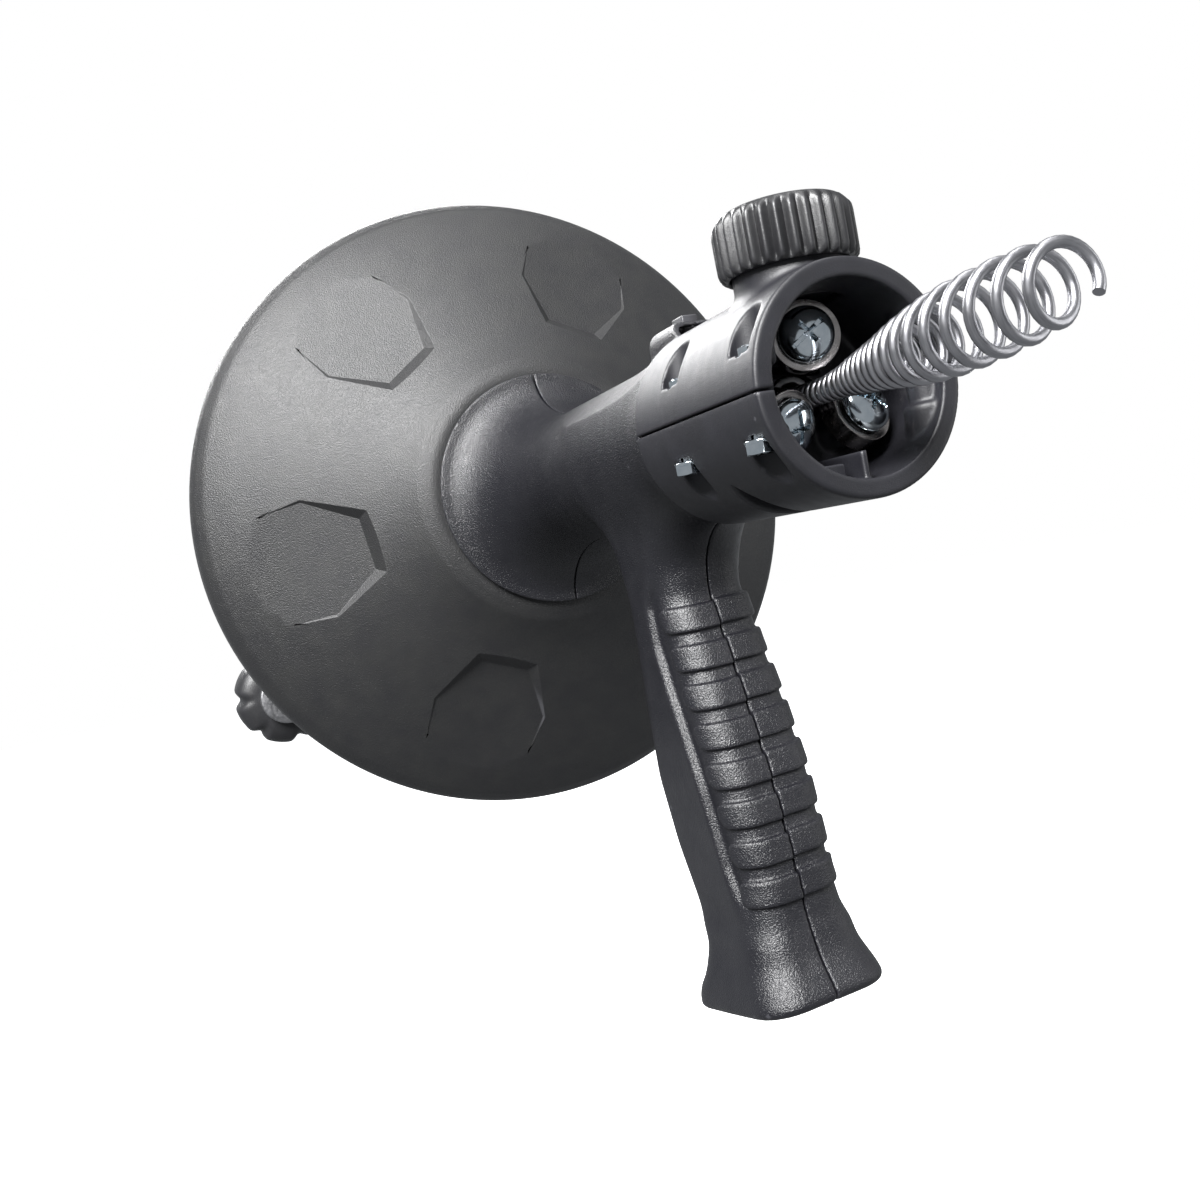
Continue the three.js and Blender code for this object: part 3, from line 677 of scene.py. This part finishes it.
def handle_field(side):
    """The handle's half on the side of x that side gives, -1 or 1."""
    rib_shift = 0.0 if side < 0 else 0.55

    def field(x, y, z):
        radius = np.hypot(x, z)
        slope = np.gradient(neck_radius(y).ravel(), y.ravel()).reshape(y.shape)
        neck = (radius - neck_radius(y)) / np.sqrt(1 + np.minimum(slope, 3) ** 2)
        neck = smooth_max(smooth_max(neck, y - FLANGE_Y, 1.4), 62.9 - y, 0.8)
        grip = grip_field(x, y, z, rib_shift)
        base = (GRIP_BASE["z"] + GRIP_BASE["slope"] * (y - GRIP_BASE["y"]) - z) / 1.0218
        grip = smooth_max(smooth_max(grip, base, 3.2), z - 8, 1)
        body = smooth_min(neck, grip, 11)
        hood = smooth_max(rounded_box(x, z - 19.2, 8.2, 10, 4.5), y - 83, 1.5)
        hood = smooth_max(hood, (63.6 + 1.2 * (z - 24.4) - y) * 0.64, 0.5)
        body = smooth_min(body, hood, 1.5)
        spigot = np.maximum(radius - 18, np.maximum(47.3 - y, y - 240))
        collar = np.maximum(radius - 20.3, np.maximum(51.3 - y, y - 55.2))
        body = np.minimum(body, np.minimum(spigot, collar))
        groove = np.maximum(16.5 - radius, np.maximum(233.6 - y, y - 236))
        body = np.maximum(body, -groove)
        body = np.maximum(body, 6.4 - radius)
        tunnel = np.maximum(rounded_box(x, z - 21.6, 6.7, 6.1, 3.2), np.maximum(24.4 - z, y - 80.5))
        body = smooth_max(body, -tunnel, 0.4)
        body = np.maximum(body, -block(x, y, z, (-2.7, 70.8, 10), (2.7, 78.2, 40)))
        if side > 0:
            for screw_y, screw_z in HANDLE_SCREWS:
                well = post(x, y, z, (0, screw_y, screw_z), (1, 0, 0), 4.1, 11.4, 40)
                body = smooth_max(body, -well, 0.5)
        return smooth_max(body, 0.16 - side * x, 0.25)

    return field


def add_handle():
    step = 0.56 * COARSE
    for side, name in ((-1, "handle_left"), (1, "handle_right")):
        reach = sorted((side * -0.8, side * (FLANGE_R + 1.5)))
        low = (reach[0], 45.5, -170)
        high = (reach[1], 241.5, FLANGE_R + 1.5)
        shell = net(name + "_shell", handle_field(side), low, high, step)
        put(shell, "handle", "grip_plastic", name, sharp=60)


# ---- feed head ----
def head_field(x, y, z):
    radius = np.hypot(x, z)
    barrel = smooth_max(smooth_max(radius - HEAD_R, -y, 1.1), y - HEAD_LENGTH, 0.8)
    boss = np.maximum(np.hypot(x, y - KNOB_Y) - BOSS_R, np.maximum(z - BOSS_TOP, -z))
    body = smooth_min(barrel, boss, 2.2)
    mouth = smooth_max(radius - MOUTH_R, y - MOUTH_DEPTH, 2)
    body = smooth_max(body, -mouth, 0.6)
    pillars = None
    for clamp_x in (-CLAMP_X, CLAMP_X):
        for clamp_y in CLAMP_YS:
            away = np.hypot(x - clamp_x, y - clamp_y)
            thick = np.hypot(x - clamp_x * 0.99, y - clamp_y)
            core = smooth_max(away - 4.2, np.abs(z) - 12, 0.6)
            blocks = smooth_max(thick - 5.6, 6 - np.abs(z + 0.6), 1.6)
            both = smooth_min(core, blocks, 0.8)
            pillars = both if pillars is None else np.minimum(pillars, both)
    ribs = np.minimum(
        block(x, y, z, (-0.7, 4, -22.5), (0.7, MOUTH_DEPTH + 1, -15)),
        block(x, y, z, (-8.5, 7, -22.5), (-3.6, MOUTH_DEPTH + 1, -16.8)),
    )
    inner = smooth_min(pillars, ribs, 0.8)
    for name in ("right", "left"):
        origin, axis = joint(f"roller_{name}_spin")
        inner = smooth_min(inner, post(x, y, z, origin, axis, 4.4, -14, -3.1), 0.8)
    inside_barrel = np.maximum(radius - HEAD_R + 0.6, np.maximum(0.9 - y, y - HEAD_LENGTH + 1))
    body = smooth_min(body, np.maximum(inner, inside_barrel), 0.9)
    throat = np.maximum(radius - 6.5, y - BULKHEAD_BACK - 1)
    socket = np.maximum(radius - 18.4, BULKHEAD_BACK - y)
    groove = np.maximum(radius - 20.6, np.maximum(51 - y, y - 55.5))
    for tool in (throat, socket, groove):
        body = np.maximum(body, -tool)
    for clamp_x in (-CLAMP_X, CLAMP_X):
        for clamp_y in CLAMP_YS:
            away = np.hypot(x - clamp_x, y - clamp_y)
            body = smooth_max(body, -smooth_max(away - 4.6, SEAT_Z - np.abs(z), 0.3), 0.35)
            body = np.maximum(body, 2.3 - away)
    for name in ("right", "left"):
        origin, axis = joint(f"roller_{name}_spin")
        body = np.maximum(body, -post(x, y, z, origin, axis, 2.45, -14, 0))
    body = np.maximum(body, -block(x, y, z, (-7.8, 24.7, 5.5), (7.8, 38.3, 20.6)))
    body = np.maximum(body, -block(x, y, z, (-7.8, 12.5, 18), (7.8, 30.3, 26)))
    body = np.maximum(body, -post(x, y, z, (0, KNOB_Y, 0), (0, 0, 1), 4.2, 15, 40))
    arc = HEAD_R * (np.arctan2(np.abs(x), -z) - math.radians(23.5))
    lens = np.abs(y - 29.2) - 3.6 * (1 - (arc / 11.5) ** 2)
    body = smooth_max(body, -smooth_max(lens, 21.9 - radius, 0.6), 0.6)
    return body


def add_head():
    step = 0.42 * COARSE
    gap = 0.22
    reach = HEAD_R + 1.2

    def upper(x, y, z):
        return smooth_max(head_field(x, y, z), gap - z, 0.3)

    def lower(x, y, z):
        return smooth_max(head_field(x, y, z), z + gap, 0.3)

    back = HEAD_LENGTH + 1
    top = net("head_upper_shell", upper, (-reach, -0.9, -0.7), (reach, back, BOSS_TOP + 1.2), step)
    put(top, "handle", "head_plastic", "head_upper", sharp=60)
    bottom = net("head_lower_shell", lower, (-reach, -0.9, -reach), (reach, back, 0.7), step)
    put(bottom, "handle", "head_plastic", "head_lower", sharp=60)


def hex_flats(name, across_flats, low, high, axis, origin, dome=0.5):
    """A hexagon's prism with its end corners turned off, as on a screw's head."""
    radius = across_flats / math.sqrt(3)
    prism_part = lathe(name, [(0, low), (radius, low), (radius, high), (0, high)], 6, axis, origin)
    wide = radius + 0.1
    turned = rounded([(0, low), (radius, low), (wide, low + 0.1), (wide, high - dome * 0.5),
                      (radius - dome, high), (0, high)], 0.2)
    limit = lathe("limit", turned, 48, axis, origin)
    boolean(prism_part, [limit], "INTERSECT")
    return bevel(prism_part, 0.15)


def threaded(radius, pitch, low, high, tip=0.6):
    """The profile of a screw's shank, with its thread drawn as rings."""
    profile = [(0, low), (radius - tip, low)]
    count = int((high - low - tip) / pitch)
    for i in range(count):
        start = low + tip + i * pitch
        profile += [(radius - 0.22, start), (radius, start + pitch * 0.45), (radius, start + pitch * 0.6)]
    return [*profile, (radius - 0.22, high), (0, high)]


def add_clamp_screws():
    for side, x in (("left", -CLAMP_X), ("right", CLAMP_X)):
        for end, y in zip(("front", "rear"), CLAMP_YS):
            name = f"clamp_screw_{side}_{end}"
            low, high = local(name)
            origin = (x, y, 0)
            tip = [(1.9 * math.cos(a), 9.4 + 1.2 * math.sin(a)) for a in (0.5, 0.9, 1.25)]
            shank = [(0, -9.6), (1.9, -9.6), (1.9, 9.9), *tip, (0, high.z)]
            pin = lathe("pin", shank, 32, (0, 0, 1), origin)
            disc = rounded([(0, -9.15), (4.1, -9.15), (4.1, -9.9), (0, -9.9)], 0.2)
            washer = lathe("washer", disc, 40, (0, 0, 1), origin)
            cap = hex_flats(name + "_zinc", 7.4, 9.7, -low.z, (0, 0, -1), origin)
            put(joined([cap, pin, washer]), "handle", "zinc", name)


# ---- rollers ----
def pan_head(name, origin, axis):
    """A pan-headed cross-recess screw through a roller, its head facing out of the mouth."""
    wide = 6.3
    head = [(0, 2.9), (wide - 0.4, 2.9), (wide, 3.3), (wide, 3.9)]
    head += [(wide * math.cos(a), 3.9 + 2.9 * math.sin(a)) for a in np.radians((12, 26, 40, 54, 68, 80))]
    screw = lathe(name, [*head, (0, 6.8)], 64, axis, origin)
    place = stood(axis, origin)
    tools = []
    upright = Matrix.Rotation(math.radians(-90), 4, "X")
    for turn_degrees, reach, floor in ((0, 5.2, 5.2), (0, 3.0, 4.2), (90, 3.0, 4.2)):
        blade = prism("blade", [(-reach, 0.6), (reach, 0.6), (reach, -0.6), (-reach, -0.6)], floor, 8)
        for vertex in blade.data.vertices:
            if vertex.co.z < 7:
                vertex.co.x *= 0.75
                vertex.co.y *= 0.7
        spin = Matrix.Rotation(math.radians(turn_degrees + 35), 4, "Y")
        tools.append(placed(blade, place @ spin @ upright))
    boolean(screw, tools)
    bevel(screw, 0.12, 2, 40)
    shank = lathe("shank", [(0, -8), (2.1, -8), (2.1, 3.0), (0, 3.0)], 24, axis, origin)
    return joined([screw, shank])


def add_rollers():
    for name in ("top", "right", "left"):
        fixed = "carrier" if name == "top" else "handle"
        origin, axis = joint(f"roller_{name}_spin")
        place = {"axis": axis, "origin": origin}
        outer = [(6.15, -2.5), (8, -2.5), (8, 2.5), (6.15, 2.5),
                 (6.15, 2.15), (6.0, 2.15), (6.0, -2.1), (6.15, -2.1)]
        tyre = ring(f"roller_{name}_tyre", outer, 96, 0.28, **place)
        put(tyre, f"roller_{name}", "bearing_steel", f"roller_{name}")
        inner = [(2.55, -2.5), (4.0, -2.5), (4.0, 2.5), (2.55, 2.5)]
        core = ring(f"roller_{name}_core", inner, 48, 0.2, **place)
        put(core, fixed, "bearing_steel", f"roller_hub_{name}")
        lip = [(4.25, 1.5), (5.9, 1.5), (5.9, 2.05), (5.5, 2.25), (5.0, 1.95), (4.6, 2.2), (4.25, 2.05)]
        seal = ring(f"roller_{name}_lip", lip, 64, 0.12, **place)
        put(seal, f"roller_{name}", "seal_rubber", f"roller_seal_{name}")
        screw = pan_head(f"roller_{name}_screw", origin, axis)
        put(screw, fixed, "zinc", f"roller_screw_{name}", sharp=30)


def add_carrier():
    origin, axis = joint("roller_top_spin")

    def field(x, y, z):
        outer = block(x, y, z, (-7.5, 25, 7.8), (7.5, 38, 20))
        inner = block(x, y, z, (-7, 25.5, 8.3), (7, 37.5, 19.5))
        body = smooth_max(outer, inner - 0.7, 0.3)
        neck = block(x, y, z, (-7.5, 25, 17), (7.5, 30, 24.2))
        tongue = block(x, y, z, (-7.5, 13.5, 21.2), (7.5, 30, 24.2))
        arm = post(x, y, z, origin, axis, 4.4, -14, -3.1)
        arm = np.maximum(arm, block(x, y, z, (-7.5, 0, 0), (7.5, 30, 30)))
        solid = smooth_min(np.minimum(np.minimum(body, neck), tongue), arm, 0.8)
        return np.maximum(solid, -post(x, y, z, origin, axis, 2.45, -14, 0))

    low, high = local("roller_carrier")
    margin = Vector((1, 1, 1))
    made = net("carrier_block", field, low - margin, high + margin, 0.4 * COARSE)
    put(made, "carrier", "head_plastic", "roller_carrier")


# ---- feed knob ----
def add_feed_knob():
    """A round of ribs with soft crests, run out under the chamfered top, over a plain skirt."""
    ribs, per_rib = 30, 12
    count = ribs * per_rib
    low, top = KNOB_LOW.z, KNOB_TOP
    skirt = BOSS_R + 0.5
    crest = KNOB_R
    # Each row: radius, height, and how much of the groove's depth shows there.
    rows = [(skirt, low + 4, 0), (skirt, low + 0.3, 0), (skirt + 0.3, low, 0), (crest - 1.5, low, 0),
            (crest - 1.0, low + 0.25, 0.3), (crest - 0.35, low + 0.9, 1), (crest - 0.05, low + 2, 1),
            (crest, low + 5, 1), (crest, top - 4, 1), (crest - 0.15, top - 2.6, 1),
            (crest - 0.5, top - 1.9, 0.8), (crest - 1.1, top - 1.2, 0.35), (crest - 1.7, top - 0.55, 0.1),
            (crest - 2.5, top - 0.12, 0), (crest - 3.4, top, 0), (10.2, top, 0), (9.8, top - 0.5, 0),
            (7.5, top - 0.7, 0), (3, top - 0.7, 0), (0.001, top - 0.7, 0)]
    angles = 2 * np.pi * np.arange(count) / count
    phase = np.abs(np.sin(angles * ribs / 2))
    groove = 1.3 * (1 - phase ** 1.5)
    rings = []
    for radius, height, depth in rows:
        r = radius - depth * groove
        rings.append(np.stack([r * np.cos(angles), KNOB_Y + r * np.sin(angles), np.full(count, height)], -1))
    faces = wound_quads(len(rows), count)[0] + [tuple(range(count))]
    knob = face_out(mesh_object("feed_knob_cap", np.concatenate(rings), faces))
    put(knob, "feed_knob", "knob_plastic", "feed_knob", sharp=50)
    screw_low, screw_high = local("feed_screw")
    profile = threaded(screw_high.x, 1.25, screw_low.z, KNOB_LOW.z + 3.4)
    screw = lathe("feed_screw_thread", profile, 40, (0, 0, 1), (0, KNOB_Y, 0))
    put(screw, "feed_knob", "dark_steel", "feed_screw")


# ---- cable ----
def snake_path():
    """The cable's wire from the drum to its tip: closed turns, then turns that part, swell and draw in."""
    tip, back = local("cable_auger")[0].y + WIRE_R, local("cable_run")[1].y - WIRE_R
    step = 0.004
    y = np.arange(back, tip, -step)
    pitch = np.interp(-y, *zip(*SNAKE_PITCH))
    turned = np.cumsum(step / pitch) * 2 * np.pi
    turned -= turned[-1]
    keep = np.unique(np.searchsorted(turned, np.arange(turned[0], 0, 2 * np.pi / SNAKE_STEPS)))
    y, turned = y[keep], turned[keep]
    radius = np.interp(-y, *zip(*SNAKE_RADIUS)) - WIRE_R
    angle = TIP_ANGLE - turned
    lift = SNAKE_LEAN * np.maximum(0, SNAKE_LEAN_FROM - y)
    return np.stack([radius * np.cos(angle), y, lift + radius * np.sin(angle)], -1)


def add_cable():
    wire = sweep("cable_wire", snake_path(), WIRE_R, 12)
    put(wire, "cable", "spring_wire", "cable_run", "cable_auger", sharp=60)


def add_cable_store():
    """The snake wound in the drum: layers inside each other, each of turns side by side."""
    low, high = local("cable_coil")
    outer = high.x - CABLE_R
    layers, across = 4, 5
    gap = (high.y - low.y - 2 * CABLE_R) / (across - 1)
    points = []
    per_turn = 40
    for turn in range(layers * across):
        layer, column = divmod(turn, across)
        if layer % 2:
            column = across - 1 - column
        for i in range(per_turn):
            share = i / per_turn
            ahead = min(1.0, max(0.0, (share - 0.75) / 0.25))
            next_layer, next_column = divmod(min(turn + 1, layers * across - 1), across)
            if next_layer % 2:
                next_column = across - 1 - next_column
            place = layer + (next_layer - layer) * ahead
            beside = column + (next_column - column) * ahead
            radius = outer - place * 2 * CABLE_R * 1.06
            angle = 2 * math.pi * share
            along = low.y + CABLE_R + beside * gap
            points.append((radius * math.cos(angle), along, radius * math.sin(angle)))
    wound = sweep("cable_winding", points, CABLE_R * 0.97, 10)
    put(wound, "drum", "spring_wire", "cable_coil", sharp=60)


# ---- drum ----
def pocket(angle):
    """A hexagonal recess that fades out towards the rim, its floor flatter than the cone."""
    corners = [(-11, 71), (11, 71), (24.5, 92), (23, 130), (-23, 130), (-24.5, 92)]
    tool = prism("pocket", corners, 0, POCKET_TOP)
    for vertex in tool.data.vertices:
        scale = POCKET_WIDE if vertex.co.z > 1 else POCKET_NARROW
        vertex.co.xy = POCKET_MIDDLE + (vertex.co.xy - POCKET_MIDDLE) * scale
    tilt = math.atan(POCKET_SLOPE)
    across = Vector((1, 0, 0))
    outward = Vector((0, math.sin(tilt), math.cos(tilt)))
    basis = Matrix((across, outward, across.cross(outward))).transposed().to_4x4()
    turn = Matrix.Rotation(math.pi / 2 - angle, 4, "Y")
    return placed(tool, turn @ Matrix.Translation((0, POCKET_FLOOR, 0)) @ basis)


def add_drum_front():
    face = [(21, 204.4), (44.5, 204.4), (49, 206.4), (54, 210.4), (62, 215.6), (80, 224.8), (100, 235.2),
            (112, 242), (118, 246.2), (121, 250), (DRUM_R, 253), (DRUM_R, DRUM_SEAM)]
    back = [(118.6, DRUM_SEAM), (118.4, 254), (115, 249), (98, 239.2), (78, 228.8), (58, 218.6), (48, 212),
            (42, 208.6), (25, 208.6), (25, 232), (21, 232)]
    soft = rounded(face, 9, 5)
    fine = []
    for a, b in zip(soft, soft[1:]):
        pieces = max(1, round(math.dist(a, b) / 5))
        for i in range(pieces):
            fine.append((a[0] + (b[0] - a[0]) * i / pieces, a[1] + (b[1] - a[1]) * i / pieces))
    outline = [*fine, (DRUM_R, DRUM_SEAM - 0.5), (DRUM_R - 0.5, DRUM_SEAM), *back]
    shell = lathe("drum_front_shell", outline, 180, closed=True)
    boolean(shell, [pocket(math.radians(POCKET_ANGLE + 60 * k)) for k in range(6)])
    bevel(shell, 1.0, 3, 20)
    put(shell, "drum", "drum_plastic", "drum_front", sharp=60, flat=True)


def add_drum_rear():
    sunk = DRUM_BACK - 1.6
    outside = [(118.2, 254.4), (118.2, DRUM_SEAM + 0.3), (121, DRUM_SEAM + 0.3), (121, 259.5),
               (117, 266), (113, 290), (107, 300), (98, DRUM_BACK), (88, DRUM_BACK), (86, sunk),
               (40, sunk), (38, DRUM_BACK), (20, DRUM_BACK), (16, 308), (7.4, 308)]
    inside = [(7.4, 301), (97, 301), (104.5, 297.6), (110, 288.6), (114, 265), (115.2, 254.4)]
    shell = lathe("drum_rear_shell", [*rounded(outside, 2.5, 4), *inside], 144, closed=True)
    wells = []
    for k in range(6):
        angle = math.radians(POCKET_ANGLE + 30 + 60 * k)
        place = (POST_RADIUS * math.cos(angle), 0, POST_RADIUS * math.sin(angle))
        wells.append(lathe("well", [(0, 270), (4.1, 270), (4.1, 312), (0, 312)], 32, origin=place))
    boolean(shell, wells)
    bevel(shell, 0.35, 2, 30)
    put(shell, "drum", "drum_plastic", "drum_rear", sharp=45, flat=True)


def cross_head(name, origin, axis, seat, radius, shank_r, tip):
    """A small pan-headed screw with a cross recess, its head beyond seat along axis."""
    head = [(0, seat), (radius - 0.2, seat), (radius, seat + 0.3), (radius, seat + 1.0),
            (radius * 0.86, seat + 1.8), (radius * 0.55, seat + 2.3), (0, seat + 2.6)]
    screw = lathe(name, rounded(head, 0.25, 3), 40, axis, origin)
    place = stood(axis, origin)
    upright = Matrix.Rotation(math.radians(-90), 4, "X")
    reach = radius * 0.6
    corners = [(-reach, 0.45), (reach, 0.45), (reach, -0.45), (-reach, -0.45)]
    tools = []
    for quarter in (0, 1):
        blade = prism("blade", corners, seat + 1, seat + 4)
        spin = Matrix.Rotation(math.radians(90 * quarter + 35), 4, "Y")
        tools.append(placed(blade, place @ spin @ upright))
    boolean(screw, tools)
    top = seat + 0.1
    shank = lathe("shank", [(0, tip), (shank_r, tip + 0.6), (shank_r, top), (0, top)], 20, axis, origin)
    return joined([screw, shank])


def add_shell_screws():
    for i, (y, z) in enumerate(HANDLE_SCREWS):
        name = f"handle_screw_{i + 1}"
        put(cross_head(name + "_zinc", (0, y, z), (1, 0, 0), 11.7, 3.6, 1.75, -8.5), "handle", "zinc", name)
    for k in range(6):
        name = f"drum_screw_{k + 1}"
        low, high = local(name)
        middle = (low + high) / 2
        screw = cross_head(name + "_zinc", (middle.x, 0, middle.z), (0, 1, 0), 270.3, 3.7, 1.75, low.y)
        put(screw, "drum", "zinc", name)


# ---- drive and crank ----
def add_crank():
    x, z = CRANK_PIN.x, CRANK_PIN.z
    reach = math.hypot(x, z)
    angle = math.atan2(z, x)
    outline = []
    for end, radius, start in ((0, 14, 90), (reach, 11, -90)):
        for degrees in range(start, start + 181, 12):
            a = math.radians(degrees)
            outline.append((end + radius * math.cos(a), radius * math.sin(a)))
    arm = prism("crank_arm_plate", outline, -312.5, -308.5)
    placed(arm, Matrix.Rotation(-angle, 4, "Y") @ Matrix.Rotation(math.radians(90), 4, "X"))
    holes = [lathe("hole", [(0, 300), (6.8, 300), (6.8, 320), (0, 320)], 40),
             lathe("hole", [(0, 300), (4.3, 300), (4.3, 320), (0, 320)], 32, origin=(x, 0, z))]
    boolean(arm, holes)
    bevel(arm, 0.8, 3, 40)
    put(arm, "drum", "dark_steel", "crank_arm")
    shaft = [(0, 297.3), (14, 297.3), (14, 300.7), (7, 300.7), (7, 308.3),
             (6.4, 308.3), (6.4, 312.3), (4.9, 312.3), (4.9, 319), (0, 319)]
    hexagon = hex_flats("hexagon", 8, 318.5, DRIVE_END, (0, 1, 0), (0, 0, 0), 0.8)
    stud = lathe("drive_stud_bar", rounded(shaft, 0.3, 3), 40)
    put(joined([stud, hexagon]), "drum", "dark_steel", "drive_stud")
    nut = hex_flats("crank_nut_zinc", 16, 312.9, 318, (0, 1, 0), (0, 0, 0), 1.0)
    boolean(nut, [lathe("bore", [(0, 300), (5.2, 300), (5.2, 330), (0, 330)], 40)])
    put(nut, "drum", "zinc", "crank_nut")
    pin = [(0, 305.6), (6, 305.6), (6, 308.2), (4, 308.2), (4, 336),
           (7, 336), (7, 339), (5.6, 340), (0, 340)]
    bar = lathe("crank_pin_bar", rounded(pin, 0.4, 3), 40, origin=(x, 0, z))
    put(bar, "drum", "dark_steel", "crank_pin")
    add_crank_knob(x, z)


def add_crank_knob(x, z):
    """A knob with seven finger scallops, hollow round its pin."""
    low, high = local("crank_knob")
    lobes, around = 7, 168
    outer = 20
    angles = 2 * np.pi * np.arange(around) / around
    wave = np.cos(lobes * (angles - math.radians(20)))
    scallop = 2.4 * np.clip((wave + 0.25) / 1.25, 0, 1) ** 3
    # Each row: radius, place along the pin, and how much of the scallop's depth shows there.
    rows = [(4.4, low.y, 0), (12, low.y, 0), (15, low.y + 0.5, 0.3), (18, low.y + 2, 0.8),
            (19.4, low.y + 4.4, 1), (outer, low.y + 8, 1), (outer, high.y - 9, 1), (19.5, high.y - 5, 1),
            (18.2, high.y - 2.4, 0.9), (16, high.y - 0.8, 0.5), (13.6, high.y, 0.15), (8.4, high.y, 0),
            (7.5, high.y - 0.6, 0), (7.5, high.y - 5.4, 0), (4.4, high.y - 5.4, 0)]
    rings = []
    for radius, height, depth in rows:
        r = radius - depth * scallop
        rings.append(np.stack([x + r * np.cos(angles), np.full(around, height), z + r * np.sin(angles)], -1))
    faces = wound_quads(len(rows), around, closed=True)[0]
    knob = face_out(mesh_object("crank_knob_cap", np.concatenate(rings), faces))
    put(knob, "crank_knob", "knob_plastic", "crank_knob", sharp=50)


# ---- small turned parts ----
def add_turned_parts():
    tube = [(4.2, 28), (6, 28), (6, 206), (4.2, 206)]
    put(ring("guide_tube_steel", tube, 48, 0.5), "handle", "dark_steel", "guide_tube")
    bush = [(18.3, 205.5), (20.7, 205.5), (20.7, 231), (18.3, 231)]
    put(ring("drum_bush_nylon", bush, 72, 0.6), "handle", "nylon", "drum_bush")
    clip = [(16.8, 233.9), (24, 233.9), (24, 235.7), (16.8, 235.7)]
    put(ring("retaining_ring_steel", clip, 72, 0.25), "handle", "dark_steel", "retaining_ring")
    button = prism("lock_button_cap", [(-2.3, 71.2), (2.3, 71.2), (2.3, 77.8), (-2.3, 77.8)], 17, 31.2)
    foot = prism("foot", [(-4.2, 69.6), (4.2, 69.6), (4.2, 79.4), (-4.2, 79.4)], 15, 17)
    bevel(button, 0.4, 3, 40)
    put(joined([button, foot]), "lock_button", "knob_plastic", "cable_lock_button")


def dress(obj, slot):
    """The looks of a slot on a piece that keeps its CAD shape."""
    obj.data.materials.clear()
    obj.data.materials.append(MATERIAL[slot])


# ---- studio ----
def emitter(name, colour, strength):
    material = bpy.data.materials.new(name)
    material.use_nodes = True
    nodes = material.node_tree.nodes
    nodes.clear()
    light = nodes.new("ShaderNodeEmission")
    light.inputs["Color"].default_value = (*colour, 1)
    light.inputs["Strength"].default_value = strength
    out = nodes.new("ShaderNodeOutputMaterial")
    material.node_tree.links.new(light.outputs[0], out.inputs["Surface"])
    return material


LIGHTS_AIM = Vector((0, -0.16, 0))


def area_light(name, place, size, power):
    data = bpy.data.lights.new(name, "AREA")
    data.shape = "RECTANGLE"
    data.size, data.size_y = size
    data.energy = power
    lamp = added(name, data)
    lamp.location = place
    lamp.rotation_mode = "QUATERNION"
    lamp.rotation_quaternion = (LIGHTS_AIM - Vector(place)).to_track_quat("-Z", "Y")


def add_studio():
    floor_z = CAD_BOX[0].z - 0.3
    floor = lathe("floor", [(0, 0), (6, 0), (6, -0.01), (0, -0.01)], 64, (0, 0, 1), (0, 0, floor_z))
    tree = Tree("floor_paint")
    paint = tree.colours(tree.noise(300, 2), (0.86, 0.86, 0.87), (0.9, 0.9, 0.9))
    tree.drive(paint, "Base Color")
    tree.set(Roughness=0.8, Emission_Color=(1, 1, 1, 1), Emission_Strength=0.95)
    floor.data.materials.append(tree.material)
    dome_r = 9
    arc = [(dome_r * math.cos(a), dome_r * math.sin(a)) for a in np.radians(np.arange(-90, 91, 6))]
    dome = lathe("backdrop", arc, 48, (0, 0, 1))
    dome.data.materials.append(emitter("backdrop_white", (1, 1, 1), 1.0))
    for flag in ("diffuse", "glossy", "transmission", "volume_scatter", "shadow"):
        setattr(dome, "visible_" + flag, False)
        setattr(floor, "visible_" + flag, False)
    world = bpy.data.worlds.new("studio")
    world.use_nodes = True
    world.node_tree.nodes["Background"].inputs["Color"].default_value = (0.93, 0.96, 1, 1)
    world.node_tree.nodes["Background"].inputs["Strength"].default_value = 0.36
    bpy.context.scene.world = world
    area_light("key", (-1.0, -1.15, 1.2), (0.85, 0.85), 165)
    area_light("top", (0.35, -0.35, 1.6), (0.9, 0.5), 8)
    area_light("back", (-0.15, 1.3, 1.0), (1.2, 0.7), 45)
    area_light("fill", (1.5, -1.0, 0.2), (0.5, 1.3), 7)
    bpy.context.scene.view_settings.view_transform = "Standard"


# ---- everything ----
add_camera()
add_handle()
add_head()
add_clamp_screws()
add_rollers()
add_carrier()
add_feed_knob()
add_cable()
add_cable_store()
add_drum_front()
add_drum_rear()
add_shell_screws()
add_crank()
add_turned_parts()
for node, slot in (("cable_lead", "spring_wire_plain"), ("cable_anchor", "dark_steel")):
    dress(frame["nodes"][node], slot)
add_studio()
